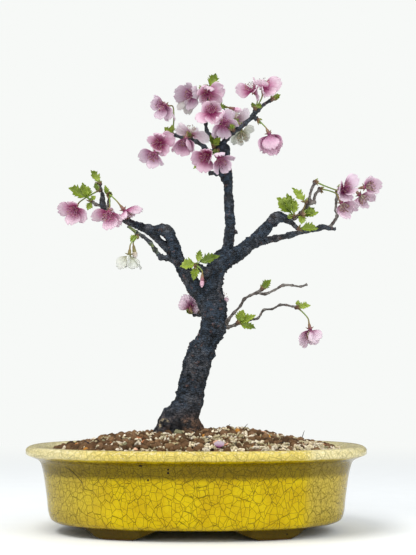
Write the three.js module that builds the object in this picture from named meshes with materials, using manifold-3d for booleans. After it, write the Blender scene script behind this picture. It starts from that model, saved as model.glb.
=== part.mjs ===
// Cherry blossom bonsai in a glazed oval pot. Millimetres, +Z up, viewer on the -Y side.
// Everything is laid out about the centre of the pot's foot, then moved by ORIGIN_X
// so that the origin lies under the middle of the whole plant.
import * as THREE from 'three';
import { mergeVertices } from 'three/addons/utils/BufferGeometryUtils.js';
import Module from 'manifold-3d';

const wasm = await Module();
wasm.setup();

// ---------- driving dimensions ----------
const GAP = 0.3; // clearance between neighbouring pieces
const ORIGIN_X = -9.2; // the blossoms on the right reach further than the pot's lip

// Pot: a stack of superellipses, half length and height of each
const OVAL_POWER = 2.3;
const OVAL_NARROWING = 37; // half width = half length - this
const OVAL_SIDES = 48;
const POT_OUTSIDE = [
  [123.5, 9], [127.2, 11.2], [129.6, 17.5], [131, 29], [135, 54], [137.9, 61.5],
  [145, 65.2], [149.6, 67.6], [149.6, 71.2], [146.8, 73.8], [140, 74.3], [133, 72.8],
];
const POT_INSIDE = [[131, 69], [122, 19], [117.5, 16]];
const FOOT_LENGTH = 119.5;
const FOOT_WALL = 9;
const FOOT_HEIGHT = 9;
const FOOT_FRONT_GAP = [[52, 0], [47.5, 1.9], [41.5, 4.2], [36.5, 6.4], [31, 9]];
const FOOT_SIDE_GAP = [[66, 0], [63.5, 1.9], [62, 4], [60, 6.4], [56, 9]];
const DRAIN_X = 45;
const DRAIN_RADIUS = 9;
const SCREEN_SIZE = 26;
const SCREEN_THICKNESS = 0.9;
const SCREEN_HOLE = 4.8;

// Soil: a low dome of coarse grit
const SOIL_EDGE = 69.2;
const SOIL_CROWN = 16.5;
const SOIL_RINGS = [0.99, 0.92, 0.82, 0.71, 0.59, 0.46, 0.32, 0.16];
const SOIL_GRIT = 1.1;
const SOIL_SIDES = [[117.3, 16.3], [121.7, 19.2], [130.6, 68.8]]; // GAP clear of the pot
const SOIL_RIM = 130.2;

// Blossoms
const BLADE = 0.38; // half the thickness of a petal or leaf
const PETAL_WIDTH = 0.82; // of its length
const PETAL_BELLY = 0.66; // share of the length where it is widest
const PETAL_TIP = 0.55; // share of the width left at the tip
const PETAL_NOTCH = 0.88;
const PETAL_BOW = 0.07; // how far the middle bows back, as a share of the length
const CUP_BOW = 0.12; // and how much more in a closed cup
const PETAL_SHARE = 0.48; // of the room between two petals' middles
const HUB_RADIUS = 1.7;
const HUB_DEPTH = 1.3;
const TUFT_HEIGHT = 6.5;
const CALYX_LENGTH = 5.5;
const STALK_BEND = 0.35; // of the way from bud to calyx
const FALLEN_PETAL = { x: 19.3, y: -76, lift: 0.4, face: [0, -0.55, 0.83], petal: [3, 5.3, 8] };

// Sides of a limb's section, and the length of its facets
const TRUNK_FACETS = [12, 6.6];
const ROOT_FACETS = [8, 8];
const LIMB_FACETS = [7, 8.2];
const TWIG_FACETS = [4, 9.6];
const TWIG_RELIEF = 0.6;

// ---------- the wood: x, y, z and radius along each limb ----------
const TRUNK = [
  [-16.5, 4, 64, 22], [-16.3, 4, 78, 22], [-15.2, 4, 88.8, 19.8], [-13.4, 3, 98.5, 17.4],
  [-7.3, 2, 110.5, 13], [-5.5, 1, 121, 12.1], [-3.8, 0, 131.5, 11.6], [-0.4, 0, 140.5, 12.2],
  [4.2, 0, 157, 12.1], [8.9, -1, 165.3, 9.6], [14.4, -1, 177.6, 11.6], [15.6, -1, 186.5, 10.9],
  [15.2, 0, 196.5, 12.4], [14.3, 0, 206.3, 10.5], [14.5, 0, 213, 8.6],
];
const ROOTS = [
  [[-19.5, 3, 96, 8.2], [-25.5, 2, 91.5, 8], [-31.5, 1, 84, 7.2], [-37, 0, 70, 5]],
  [[-19.5, 0, 95.5, 8], [-25, -9, 91.5, 7.5], [-28.3, -13, 87.5, 6.5], [-30, -15, 70, 5]],
  [[-10, -2, 100, 9], [-8, -9, 91, 9], [-5, -14, 82, 8], [-3, -17, 68, 5]],
  [[-8, 5, 98, 8], [-2, 7, 89, 7.5], [2, 9, 80, 6.5], [5, 10, 68, 5]],
  [[-15.5, 8, 98, 8.6], [-17, 15, 91, 8.8], [-19, 21, 82, 8], [-20, 24, 68, 5]],
];
const LIMBS = [
  // upright stem
  [[14.5, 0, 203, 9.5], [14.5, 0, 211.7, 8.7], [14.7, 0, 220.7, 8.6], [17, 0, 231.5, 8.6],
    [20.5, 1, 238, 7.6], [27.3, 3, 248, 5.2], [29.2, 4, 259, 5], [30.1, 4, 269.9, 4.6],
    [29.7, 4, 282.7, 4.4], [29, 3, 295.3, 4.2], [28.3, 2, 307.9, 4.3], [25.6, 1, 318.7, 6.2],
    [23.8, 0, 329.4, 5.5], [24.2, 0, 339, 6.1], [21.6, 0, 345, 3.6]],
  // right limb, with the knob at its end
  [[17, 0, 227, 7], [19.2, 0, 233.3, 8], [30.8, -3, 240.2, 7], [41.5, -6, 247.5, 6],
    [51.3, -8, 255.8, 5.5], [59.2, -10, 263.2, 5], [65.4, -11, 269.8, 4.6], [71.6, -12, 275.5, 5.6],
    [77, -12, 275.1, 4.2], [83.2, -12, 271.9, 2.9], [90.3, -11, 265.3, 2]],
  // long lower branch on the right
  [[41.5, -5, 248, 5.2], [47.9, -2, 252, 4.8], [58.8, 2, 255.6, 3.6], [70.7, 5, 258.6, 3],
    [82.7, 8, 261.8, 2.9], [95.6, 11, 265.5, 2.5], [108.5, 13, 268, 2.3], [115, 14, 270.3, 2.8],
    [121.3, 14, 269.1, 2], [126.9, 15, 268.3, 1.8]],
  // left limb, as far as its bud twigs
  [[10.2, 0, 192, 6.5], [5.8, 1, 203.7, 7], [-3.1, 2, 216.4, 7.1], [-10.5, 3, 229.6, 6.7],
    [-18.2, 4, 242.7, 5.8], [-21.9, 3, 255.6, 5.3], [-26.6, 3, 264.8, 5.8], [-33.1, 4, 266.4, 5],
    [-38, 5, 265.6, 4.4], [-43.8, 6, 267, 4.4], [-51.3, 7, 269.8, 3.7], [-62.3, 8, 274.2, 3],
    [-74.2, 10, 279.8, 2.6], [-84.8, 11, 287.6, 3.2], [-86, 11, 291.5, 2.6],
    [-85.8, 11, 298.3, 1.9], [-88, 12, 308, 1.7]],
  // the limb that closes the eye in the left limb
  [[-16, 5, 238, 4.2], [-21.4, 6, 244.4, 4], [-28.8, 7, 251.8, 3.3], [-35.8, 7, 258.8, 3.4],
    [-42.2, 6, 267.4, 4]],
];
const TWIGS = [
  // up from the end of the long lower branch
  [[121.3, 14, 270, 1.6], [127.8, 14, 280.3, 1.4], [126.8, 13, 285.7, 1.3], [127.1, 12, 294.8, 1.2],
    [128.1, 11, 301.5, 1.4]],
  // from the right knob to its whorl, and the two twigs above it
  [[77, -12, 275, 2.6], [87.4, -13, 274.9, 1.8], [92.6, -14, 279.3, 1.6], [97.7, -15, 285, 1.8],
    [100.9, -15, 289, 2.6]],
  [[96.5, -15, 289.8, 1.4], [100.9, -15, 289, 2.4], [106, -15, 288.6, 1.5]],
  [[99.5, -15, 288.5, 1.5], [102, -17, 299.5, 1.2], [104.9, -18, 305.6, 1.4]],
  [[103.8, -15, 288.5, 1.5], [106.2, -12, 296.6, 1.2], [109.6, -10.3, 300.4, 1.5]],
  // bud twigs at the end of the left limb
  [[-81.5, 10.5, 286, 1.8], [-79.8, 10, 293.6, 1.3], [-79.7, 8.5, 297.4, 1.3]],
  [[-85.5, 11, 289.5, 1.8], [-91.6, 11, 290.5, 1.4], [-94.6, 11, 292.8, 1.5]],
  // side branch under the left limb and its mossy shoot
  [[-10, 0, 230.5, 3], [-18.3, -5, 235.5, 2.5], [-26.3, -8, 239.4, 2.4], [-31.5, -9, 240.6, 2.5],
    [-36.8, -10, 246.7, 2], [-41, -11, 252.8, 1.8], [-47.5, -12, 258.6, 1.7],
    [-53.6, -13, 262.3, 1.5], [-60.8, -14, 267.7, 1.3]],
  // stub in the fork
  [[10.2, -2, 224.9, 5], [9.3, -7, 227.3, 4.4], [3.1, -11, 230.5, 3.3], [0.8, -12.2, 232, 2.4]],
  // small twig behind the trunk
  [[12, 5, 187, 2.2], [8.4, 9, 188.8, 1.9], [2.1, 15, 190, 1.5], [-2.6, 19.4, 190.4, 1.5]],
  // stub and spur on the upright stem
  [[25, 1, 318, 3], [17.5, 0, 317.6, 2.3], [11.1, -1, 317.4, 1.8]],
  [[29.5, 4, 262, 2.4], [36.2, 2, 264.6, 1.7]],
  // the two thin twigs low on the right
  [[23, -3, 181, 2.6], [26.2, -6, 181.9, 2.1], [27.9, -10, 184.3, 1.6], [33, -12, 190.4, 1.3],
    [38.8, -14, 196.5, 1.1], [42.4, -15, 202.6, 1.4], [47.6, -16, 205.7, 1.1],
    [53, -17, 207.8, 1.3], [60.4, -19, 206.8, 1.3], [68.7, -21, 210.2, 1], [76.1, -22, 214.2, 1.3],
    [83.9, -23, 214.1, 0.9], [91.4, -24, 213, 0.9], [97, -25, 214.8, 1.1]],
  [[24, -3, 178, 2.1], [28, -6, 178.3, 1.6], [34.2, -8, 180, 1.3], [40.1, -8, 181.8, 1.2],
    [47.8, -8, 184.8, 1.1], [54.5, -7, 186, 1.1], [59.8, -7, 193.4, 1], [67.2, -6, 194.3, 0.9],
    [74.3, -6, 197.9, 1.1], [79.1, -5, 198, 0.9], [85.6, -5, 196.6, 0.9], [88.3, -5, 196.2, 1]],
  [[53, -17, 207.8, 1.3], [57, -18, 210.5, 1.2]],
  // crown: right twig with two spurs, left twig, upright twig
  [[23, 0, 343, 3], [27.4, -2, 349.2, 2.4], [32.6, -3, 353.9, 2.2], [37.8, -5, 357, 2.3],
    [43.5, -6, 361.6, 2], [50, -7, 367.3, 2], [55.5, -8, 373.2, 1.5], [60.5, -9, 378.2, 1.3],
    [66, -10, 381.6, 1.6]],
  [[51, -7.5, 369, 1.7], [52.6, -8.5, 372.4, 1.7]],
  [[50.5, -7.5, 367.5, 1.7], [54, -8, 365.3, 1.9]],
  [[22, 2, 339, 3.4], [18.1, 4, 339.3, 2.6], [12.1, 6, 338.1, 2.2], [6.6, 8, 343, 2],
    [-0.3, 9, 347.9, 1.9], [-5.6, 10, 350.2, 1.8], [-13.5, 10, 351.9, 1.6], [-20.3, 10, 354.2, 1.7]],
  [[21.1, 1, 343.5, 3], [16.6, 5, 347.8, 2.2], [13.7, 6, 352.2, 1.8], [9.3, 7, 357.4, 1.6],
    [8.3, 7, 363.9, 1.5], [8.9, 7, 376.8, 1.4], [9.6, 6, 383, 1.5], [10.2, 5, 387.5, 1.4],
    [10.4, 4, 394.5, 1.5]],
];

// ---------- blossoms ----------
// at: centre; face: the way it looks; petals: clock angle seen from the front (0 up, 90 right),
// reach across the view, depth of the tip behind the centre, twist about its own length;
// bend: how wide its stalk swings, where it isn't STALK_BEND
const BLOOMS = {
  bloom_01: { at: [-29.4, 4, 380.4], face: [-0.55, -0.75, -0.1],
    petals: [[272, 13, -3, -25], [207, 14.5, -2], [160, 15.5, -2, 15], [139, 17, 0, 55],
      [314, 13.5, 3, -55]] },
  bloom_02: { at: [-3.7, 0, 388.8], face: [-0.6, -0.75, -0.1],
    petals: [[273, 17.5, -3, -20], [328, 13, 1, -15], [80, 5.5, -13], [186, 15, -4], [228, 10, 6, 15]] },
  bloom_03: { at: [-10.4, 14, 386.6], face: [-0.3, 0.2, -0.9],
    petals: [[213, 11, -3, 15], [170, 13, 0, 15], [285, 9, 5, -35], [140, 9, 7, -40], [235, 7, 9, 35]] },
  bloom_04: { at: [9.8, -8, 387.9], face: [-0.2, -0.85, -0.45],
    petals: [[70, 16.5, -3], [290, 8, -11, 15], [10, 7, -11], [122, 15, 3, 15], [212, 11, -3, -30]] },
  bloom_05: { at: [13.3, -15, 369.6], face: [0, -0.88, 0.47],
    petals: [[242, 16, -3, 5], [125, 14.5, -5, 5], [172, 13, -8, -25], [40, 9, -9, 5], [312, 10, -8, 5]] },
  bloom_06: { at: [23.8, -7, 361.4], face: [0.25, -0.9, -0.1],
    petals: [[104, 14.7, 1, 45], [38, 15, 3, 20], [175, 15, -3], [217, 15.9, 1, -45], [318, 11, 1, 35]] },
  bloom_07: { at: [35.9, 15, 370], face: [0.6, 0.3, 0.7],
    petals: [[55, 15, 2], [88, 12, 5, -35], [130, 7, 9, -45], [10, 8, 9, -10]] },
  bloom_08: { at: [40.9, 12, 356.5], face: [0.1, -0.5, -0.8], bend: 0.1,
    petals: [[190, 12, -1, -15], [226, 13, 2], [132, 10, -3, -25], [62, 13, 2], [255, 8, -6, 15]] },
  bloom_09: { at: [50.5, -8, 391.7], face: [-0.45, -0.7, 0.5],
    petals: [[268, 16, -4, -30], [8, 9, -8, -15], [152, 11, -7, 70], [85, 5, -10, -10]] },
  bloom_10: { at: [59.8, -15, 392.4], face: [0.1, -0.65, 0.75],
    petals: [[70, 17.5, -2, 30], [128, 13, -4, 20], [182, 8.7, -9, -70], [330, 5, -12, 15],
      [20, 6, 10, -30]] },
  bloom_11: { at: [65.3, -10, 350.5], face: [0.38, -0.25, -0.88], bend: 0.15,
    petals: [[172, 15, -7, -50], [205, 18, -1, 20], [138, 16.5, -1, -5], [168, 19, 3, -10],
      [150, 15, 8, 30]] },
  bloom_12: { at: [-34, -4, 343.5], face: [-0.15, -0.85, -0.4],
    petals: [[8, 12, -6], [294, 12, -1, -25], [63, 16, 0], [143, 13, -3], [205, 8, -10]] },
  bloom_13: { at: [-38.4, 10, 337.6], face: [-0.4, -0.6, -0.7],
    petals: [[250, 16, 0], [190, 15, -1], [146, 13, 4, 35], [75, 8, 2]] },
  bloom_14: { at: [-5.6, 18, 357], face: [0, 0.4, 0.9],
    petals: [[303, 15, -1, 5], [277, 15, 2, 5], [30, 8, 8, 15], [106, 18.5, 0, -10], [345, 7, 10, 20]] },
  bloom_15: { at: [-9.7, 1, 348.5], face: [-0.15, -0.3, -0.95],
    petals: [[233, 17, 1, -20], [201, 16.5, -5, 80], [145, 13.5, -1], [160, 11, -8, -15], [178, 12, 6, 25]] },
  bloom_16: { at: [9.2, -11, 331.8], face: [-0.3, -0.8, -0.5],
    petals: [[248, 15.5, 0], [190, 17, -4], [350, 4, -11, 15], [140, 6, -11, -35], [280, 8, 4]] },
  bloom_17: { at: [20.4, -14, 327.5], face: [0.2, -0.7, -0.7],
    petals: [[0, 7, -9], [84, 14.5, 2, 35], [144, 14.5, -3], [195, 14, -2, -30]] },
  bloom_18: { at: [-109.9, 4, 286.3], face: [-0.3, -0.75, -0.6],
    petals: [[262, 16.5, 0], [196, 16.5, -2, 15], [141, 16, -1], [320, 6, -10], [170, 7, 10, -15]] },
  bloom_19: { at: [-78.9, -3, 281.2], face: [-0.05, -0.7, -0.7],
    petals: [[250, 17, -1, -10], [175, 16.5, -3, 10], [138, 16.5, 2, 20], [50, 5, 5, -40],
      [200, 8, 10, -25]] },
  bloom_20: { at: [-64.8, -1, 283], face: [0.6, 0.2, -0.75],
    petals: [[92, 17, -2, 10], [190, 9, -8], [120, 9, 8, 10], [75, 9, 7, -15]] },
  bloom_21: { at: [-59.5, -16, 240.5], face: [-0.1, 0.2, -0.95],
    petals: [[226, 14.8, 0, -35], [150, 12.4, -4, 35], [137, 15.5, 3], [190, 9, 9, -35], [185, 8, -9, -75]] },
  bloom_22: { at: [-6, 17, 197], face: [-0.2, 0.75, 0.6],
    petals: [[290, 11.5, 0, 5], [330, 13, 2, -25], [10, 12.5, 6, 15], [122, 10, -1, 5], [60, 9, 5]] },
  bloom_23: { at: [21, 24, 205], face: [0.2, 0.6, 0.75], bend: 0.15,
    petals: [[95, 8.5, 2], [50, 5, 5], [140, 5, 6], [350, 6, 9, -25]] },
  bloom_24: { at: [130.6, -16, 300.8], face: [0.2, -0.85, 0],
    petals: [[53, 17.5, 0, 35], [165, 13.5, -5], [110, 12, -8, -35], [290, 4, -11], [218, 9, -8, -25]] },
  bloom_25: { at: [130, -7, 288.7], face: [0.4, -0.3, -0.85],
    petals: [[161, 16, -2, -15], [108, 15.6, -3, -15], [135, 12, 7, 20], [195, 9, 4]] },
  bloom_26: { at: [152.4, -2, 304.5], face: [0.85, -0.4, 0.1],
    petals: [[83, 15.5, 0, 45], [50, 12, 7, 10], [118, 12, -6, 35], [20, 9, -8, -30]] },
  bloom_27: { at: [148.4, 7, 298], face: [0.6, -0.3, -0.7],
    petals: [[98, 14.5, 0, -10], [140, 13, 4, -50], [172, 12, -3, 20], [200, 9, 8, 10]] },
  bloom_28: { at: [101.2, -4, 175.4], face: [0.15, -0.15, -0.97],
    petals: [[211, 17, -2, 40], [134, 12, -5, 60], [168, 13, -8, -45], [165, 13, 7, 25], [195, 13, 6]] },
};
// closed buds, as tapered spindles: from, to
const BUDS = {
  bud_01: [[33.9, 8, 378], [41.8, 8, 375.9]],
  bud_02: [[5, -17, 219.5], [4.8, -17, 212.8]],
  bud_03: [[-55.2, -12, 245.6], [-54.2, -11, 238.4]],
};

// ---------- green sprays ----------
// buds: where it sits on the wood; flowers: the stalks it sends out; leaves: base, tip, width
const SPRAYS = {
  spray_01: { buds: [[10.5, 3, 396.8]], flowers: ['bloom_02', 'bloom_04'],
    leaves: [[[12.6, 4, 398], [17.5, 4, 410.4], 8], [[6.5, 3.5, 396.4], [1.1, 2, 392.6], 5]] },
  spray_02: { buds: [[9.2, 4.4, 381]], flowers: ['bloom_05', 'bloom_03'],
    leaves: [[[17, 4, 381], [28, 4, 378.5], 4.5]] },
  spray_03: { buds: [[39.2, -2.7, 360.1]], flowers: ['bloom_07', 'bloom_08', 'bud_01'],
    leaves: [[[37, -2, 362], [32.5, -1, 368], 4]] },
  spray_04: { buds: [[15.6, 0, 341.5]], flowers: [],
    leaves: [[[15.4, -1, 343], [17, -2, 355.1], 5.5], [[16, -1, 343], [21.5, -5, 349.5], 5.5],
      [[14.6, -1, 343], [12.6, -2.5, 352.5], 4]] },
  spray_05: { buds: [[-5.8, 9.4, 352.2]], flowers: ['bloom_14', 'bloom_15'], leaves: [] },
  spray_06: { buds: [[19, -4.6, 337]], flowers: ['bloom_16', 'bloom_17'],
    leaves: [[[10, -2, 331], [-3.5, -3, 321.5], 5]] },
  spray_07: { buds: [[-22.2, 9.6, 355]], flowers: ['bloom_12', 'bloom_13', 'bloom_01'],
    leaves: [[[-24.5, 9, 355], [-29.4, 7, 361], 7], [[-22.6, 9, 357], [-22.6, 8, 363.6], 4]] },
  spray_08: { buds: [[52.8, -8.8, 374.2]], flowers: ['bloom_09', 'bloom_10'],
    leaves: [[[51.6, -9, 375], [49.6, -10, 380], 4], [[54.6, -9, 375], [58, -9, 379.4], 4]] },
  spray_09: { buds: [[55.4, -8.2, 364.4]], flowers: ['bloom_11'], leaves: [] },
  spray_10: { buds: [[67.6, -10.2, 382.6]], flowers: [],
    leaves: [[[68, -10, 382.6], [75.6, -10, 387.4], 4.5]] },
  spray_11: { buds: [[-88.8, 11, 303.6]], flowers: ['bloom_18'],
    leaves: [[[-90.6, 10, 304], [-92.4, 9, 310.4], 4]] },
  spray_12: { buds: [[-96, 11, 293.6]], flowers: [],
    leaves: [[[-100.6, 9.5, 297], [-116.2, 6, 305.4], 10], [[-100, 10, 297.6], [-104.2, 10, 311], 6],
      [[-99, 10, 297.6], [-98.6, 12, 307.4], 5], [[-95, 9, 295], [-91.8, 8, 298], 4],
      [[-96.2, 9.6, 291.6], [-99.2, 8, 284.8], 5]] },
  spray_13: { buds: [[-88.4, 12, 310]], flowers: [],
    leaves: [[[-88.8, 12, 311], [-96.8, 12, 322.6], 6]] },
  spray_14: { buds: [[-79.5, 7, 299.4]], flowers: ['bloom_19', 'bloom_20'],
    leaves: [[[-81.4, 7.5, 299], [-83.2, 7, 308], 3.6]] },
  spray_15: { buds: [[-52.6, -12.4, 259.6]], flowers: ['bloom_21', 'bud_03'],
    leaves: [[[-54, -13.4, 258.6], [-58.6, -14.4, 253.8], 5]] },
  spray_16: { buds: [[-0.5, -14.5, 232.8]], flowers: ['bud_02'],
    leaves: [[[-1.6, -14, 234.4], [-14.6, -19, 231], 8], [[3, -14.4, 235.4], [20.6, -19, 241.4], 7],
      [[1.4, -13.6, 236], [3.4, -13, 247], 5], [[-0.6, -14.4, 231], [-2.6, -17, 219], 6]] },
  spray_17: { buds: [[57.8, -18.2, 211.3]], flowers: [],
    leaves: [[[58.4, -18.4, 212], [65.6, -20, 219.6], 6]] },
  spray_18: { buds: [[36.8, -9.6, 182.2]], flowers: [],
    leaves: [[[37.2, -10.6, 183.4], [41.6, -12, 193.6], 7.5], [[38.4, -10.4, 183], [52.8, -13, 188.6], 6],
      [[38.4, -10.4, 181], [52.6, -12, 176.6], 6]] },
  spray_19: { buds: [[89.4, -5, 195.8]], flowers: ['bloom_28'],
    leaves: [[[90.6, -5.4, 196.2], [101.4, -8, 198], 5], [[89.8, -5, 197.4], [90.6, -5, 202.4], 3.6]] },
  spray_20: { buds: [[-3.4, 20.4, 192.7], [3, 14.6, 192.6]], flowers: ['bloom_22', 'bloom_23'],
    leaves: [[[-5, 21, 191.4], [-9.8, 22, 195.6], 4]] },
  spray_21: { buds: [[86, -14.4, 276.6], [93.4, -17, 278.2], [97.2, -18.6, 288.4]], flowers: [],
    leaves: [[[83.6, -14.6, 279.4], [70.4, -17, 292.4], 12], [[83.4, -14.6, 281], [81.4, -15, 297.6], 8],
      [[86, -15, 279], [87.7, -15, 291], 6], [[85, -15, 276], [80, -15.4, 275.2], 4],
      [[95.2, -15, 277.4], [108.6, -17, 279.4], 6.5], [[96, -15, 278.4], [105, -15, 284.4], 5],
      [[93, -14.8, 277.4], [93.2, -15, 268.8], 6], [[95.4, -15.8, 289.6], [85.4, -18, 302.2], 6.5]] },
  spray_22: { buds: [[91, -11.8, 265.4]], flowers: [],
    leaves: [[[92.8, -13.4, 266], [108.1, -17, 265.6], 7]] },
  spray_23: { buds: [[105.4, -18, 306.6]], flowers: ['bloom_24'], leaves: [] },
  spray_24: { buds: [[110.4, -10, 301.4]], flowers: ['bloom_25'], leaves: [] },
  spray_25: { buds: [[128.2, 11, 302.6]], flowers: ['bloom_26', 'bloom_27'],
    leaves: [[[129, 9, 304], [131.4, 6, 309], 4]] },
  spray_26: { buds: [[33, -6.6, 355.6]], flowers: ['bloom_06'],
    leaves: [[[32, -7, 357], [30.6, -8, 361], 4]] },
};

// ---------- small geometry tools ----------
const vec = ([x, y, z]) => new THREE.Vector3(x, y, z);

function solidOf(geometry) {
  geometry.deleteAttribute('normal');
  geometry.deleteAttribute('uv');
  const merged = mergeVertices(geometry, 1e-4);
  const solid = new wasm.Manifold(new wasm.Mesh({
    numProp: 3,
    vertProperties: new Float32Array(merged.attributes.position.array),
    triVerts: new Uint32Array(merged.index.array),
  }));
  if (solid.volume() < 0) throw new Error('a solid faces inwards');
  return solid;
}

// A closed skin from points and triangles, turned to face outwards
function skin(points, triangles) {
  let volume = 0;
  for (const [a, b, c] of triangles) {
    volume += points[a].dot(points[b].clone().cross(points[c]));
  }
  const faces = volume < 0 ? triangles.map(([a, b, c]) => [a, c, b]) : triangles;
  const geometry = new THREE.BufferGeometry();
  const flat = points.flatMap((p) => [p.x, p.y, p.z]);
  geometry.setAttribute('position', new THREE.Float32BufferAttribute(flat, 3));
  geometry.setIndex(faces.flat());
  return solidOf(geometry);
}

// Rings of equal length joined one to the next, the first and last closed flat
function loft(rings) {
  const sides = rings[0].length;
  const triangles = [];
  for (let i = 0; i + 1 < rings.length; i += 1) {
    for (let j = 0; j < sides; j += 1) {
      const [a, b] = [i * sides + j, i * sides + ((j + 1) % sides)];
      triangles.push([a, b, b + sides], [a, b + sides, a + sides]);
    }
  }
  const last = (rings.length - 1) * sides;
  for (let j = 1; j + 1 < sides; j += 1) {
    triangles.push([0, j + 1, j], [last, last + j, last + j + 1]);
  }
  return skin(rings.flat(), triangles);
}

function joined(solids) {
  return wasm.Manifold.union(solids);
}

// The biggest of a solid's separate bodies: scraps left by a cut fall away
function largest(solid) {
  const bodies = solid.decompose();
  return bodies.sort((a, b) => b.volume() - a.volume())[0];
}

function box(width, depth, height, [x, y, z]) {
  return solidOf(new THREE.BoxGeometry(width, depth, height).translate(x, y, z));
}

function upright(radius, bottom, top, x, sides) {
  const geometry = new THREE.CylinderGeometry(radius, radius, top - bottom, sides);
  return solidOf(geometry.rotateX(Math.PI / 2).translate(x, 0, (top + bottom) / 2));
}

// The same draw every time, from 0 to 1
function makeRandom(seed) {
  let state = seed;
  return () => {
    state = (state * 1664525 + 1013904223) % 4294967296;
    return state / 4294967296;
  };
}

// ---------- pot, screens and soil ----------
function ovalRing(halfLength, z, inset = 0) {
  const [a, b] = [halfLength - inset, halfLength - OVAL_NARROWING - inset];
  const ring = [];
  for (let i = 0; i < OVAL_SIDES; i += 1) {
    const angle = (2 * Math.PI * i) / OVAL_SIDES;
    const [c, s] = [Math.cos(angle), Math.sin(angle)];
    const x = a * Math.sign(c) * Math.abs(c) ** (2 / OVAL_POWER);
    const y = b * Math.sign(s) * Math.abs(s) ** (2 / OVAL_POWER);
    ring.push(new THREE.Vector3(x, y, z));
  }
  return ring;
}

// An arch between two feet, cut right through along X or Y
function footGap(curve, along) {
  const outline = [...curve.map(([w, z]) => [w, z]), ...curve.map(([w, z]) => [-w, z]).reverse()];
  outline.push([-curve[0][0], -1]);
  outline.unshift([curve[0][0], -1]);
  const place = ([w, z], reach) => (along === 'y'
    ? new THREE.Vector3(w, reach, z)
    : new THREE.Vector3(reach, w, z));
  return loft([-200, 200].map((reach) => outline.map((p) => place(p, reach))));
}

function makePot() {
  const bowl = loft([...POT_OUTSIDE, ...POT_INSIDE].map(([a, z]) => ovalRing(a, z)));
  const foot = loft([ovalRing(FOOT_LENGTH - 1, 0), ovalRing(FOOT_LENGTH, FOOT_HEIGHT + 0.5)])
    .subtract(loft([-1, FOOT_HEIGHT].map((z) => ovalRing(FOOT_LENGTH - FOOT_WALL, z))))
    .subtract(footGap(FOOT_FRONT_GAP, 'y'))
    .subtract(footGap(FOOT_SIDE_GAP, 'x'));
  return [-DRAIN_X, DRAIN_X].reduce(
    (pot, x) => pot.subtract(upright(DRAIN_RADIUS, FOOT_HEIGHT - 2, potFloor() + 2, x, 20)),
    joined([bowl, foot]),
  );
}

function potFloor() {
  return POT_INSIDE[POT_INSIDE.length - 1][1];
}

function makeScreen(x) {
  const z = potFloor() + GAP + SCREEN_THICKNESS / 2;
  const holes = [];
  for (const dx of [-1, 0, 1]) {
    for (const dy of [-1, 0, 1]) {
      const at = [x + dx * 7.6, dy * 7.6, z];
      holes.push(box(SCREEN_HOLE, SCREEN_HOLE, 4, at));
    }
  }
  const plate = box(SCREEN_SIZE, SCREEN_SIZE, SCREEN_THICKNESS, [x, 0, z]);
  return plate.subtract(joined(holes));
}

function soilHeight(x, y) {
  const [a, b] = [SOIL_RIM, SOIL_RIM - OVAL_NARROWING];
  const power = Math.abs(x / a) ** OVAL_POWER + Math.abs(y / b) ** OVAL_POWER;
  const out = power ** (1 / OVAL_POWER);
  const hump = 3 * Math.exp(-(((x - 38) / 22) ** 2) - (y / 45) ** 2);
  return SOIL_EDGE + SOIL_CROWN * (1 - out ** 2.2) + hump;
}

function soilRing(share, draw) {
  const flat = ovalRing(SOIL_RIM, 0).map((p) => p.multiplyScalar(share));
  const loose = share > 0.98 ? 0 : 1.6;
  return flat.map((p) => {
    const [x, y] = [p.x + (draw() - 0.5) * loose, p.y + (draw() - 0.5) * loose];
    const grit = share > 0.98 ? 0 : (draw() - 0.5) * 2 * SOIL_GRIT;
    return new THREE.Vector3(x, y, soilHeight(x, y) + grit);
  });
}

function makeSoil(dents) {
  const draw = makeRandom(11);
  const floor = potFloor() + GAP;
  const sides = SOIL_SIDES.map(([a, z]) => ovalRing(a, z));
  const dome = SOIL_RINGS.map((share) => soilRing(share, draw));
  const pockets = [-DRAIN_X, DRAIN_X].map((x) => {
    const size = SCREEN_SIZE + 2 * GAP;
    return box(size, size, 2 * (SCREEN_THICKNESS + GAP), [x, 0, floor]);
  });
  return largest(loft([...sides, ...dome]).subtract(joined([...pockets, ...dents])));
}

// ---------- wood ----------
// Ridged bark: how far the surface swells at a height along the limb and an angle round it
function bark(along, angle) {
  return 0.05 * Math.sin(3 * angle + 0.13 * along)
    + 0.035 * Math.sin(5 * angle - 0.31 * along)
    + 0.035 * Math.sin(0.9 * along + 2 * Math.sin(angle));
}

// A limb swept along its points, a ring every `step` or one at each point when step is 0;
// grow widens it and pushes its ends out
function limb(points, sides, step, relief, grow) {
  const curve = new THREE.CatmullRomCurve3(points.map(vec), false, 'centripetal');
  const count = step ? Math.max(2, Math.round(curve.getLength() / step)) : points.length - 1;
  const rings = [];
  let side = new THREE.Vector3(1, 0.2, 0.1);
  for (let i = 0; i <= count; i += 1) {
    const t = i / count;
    const along = curve.getTangent(t).normalize();
    side = side.clone().addScaledVector(along, -side.dot(along)).normalize();
    const across = along.clone().cross(side);
    const centre = curve.getPoint(t);
    if (i === 0) centre.addScaledVector(along, -grow);
    if (i === count) centre.addScaledVector(along, grow);
    const radius = radiusAt(points, t);
    rings.push(ringAround(centre, side, across, sides, (angle) => (
      radius * (1 + relief * bark(t * curve.getLength(), angle)) + grow)));
  }
  return loft(rings);
}

function radiusAt(points, t) {
  const at = t * (points.length - 1);
  const i = Math.min(Math.floor(at), points.length - 2);
  const part = at - i;
  const ease = part * part * (3 - 2 * part);
  return points[i][3] + (points[i + 1][3] - points[i][3]) * ease;
}

function ringAround(centre, side, across, sides, radiusFor) {
  return Array.from({ length: sides }, (_, j) => {
    const angle = (2 * Math.PI * j) / sides;
    const radius = radiusFor(angle);
    return centre.clone()
      .addScaledVector(side, radius * Math.cos(angle))
      .addScaledVector(across, radius * Math.sin(angle));
  });
}

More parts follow.
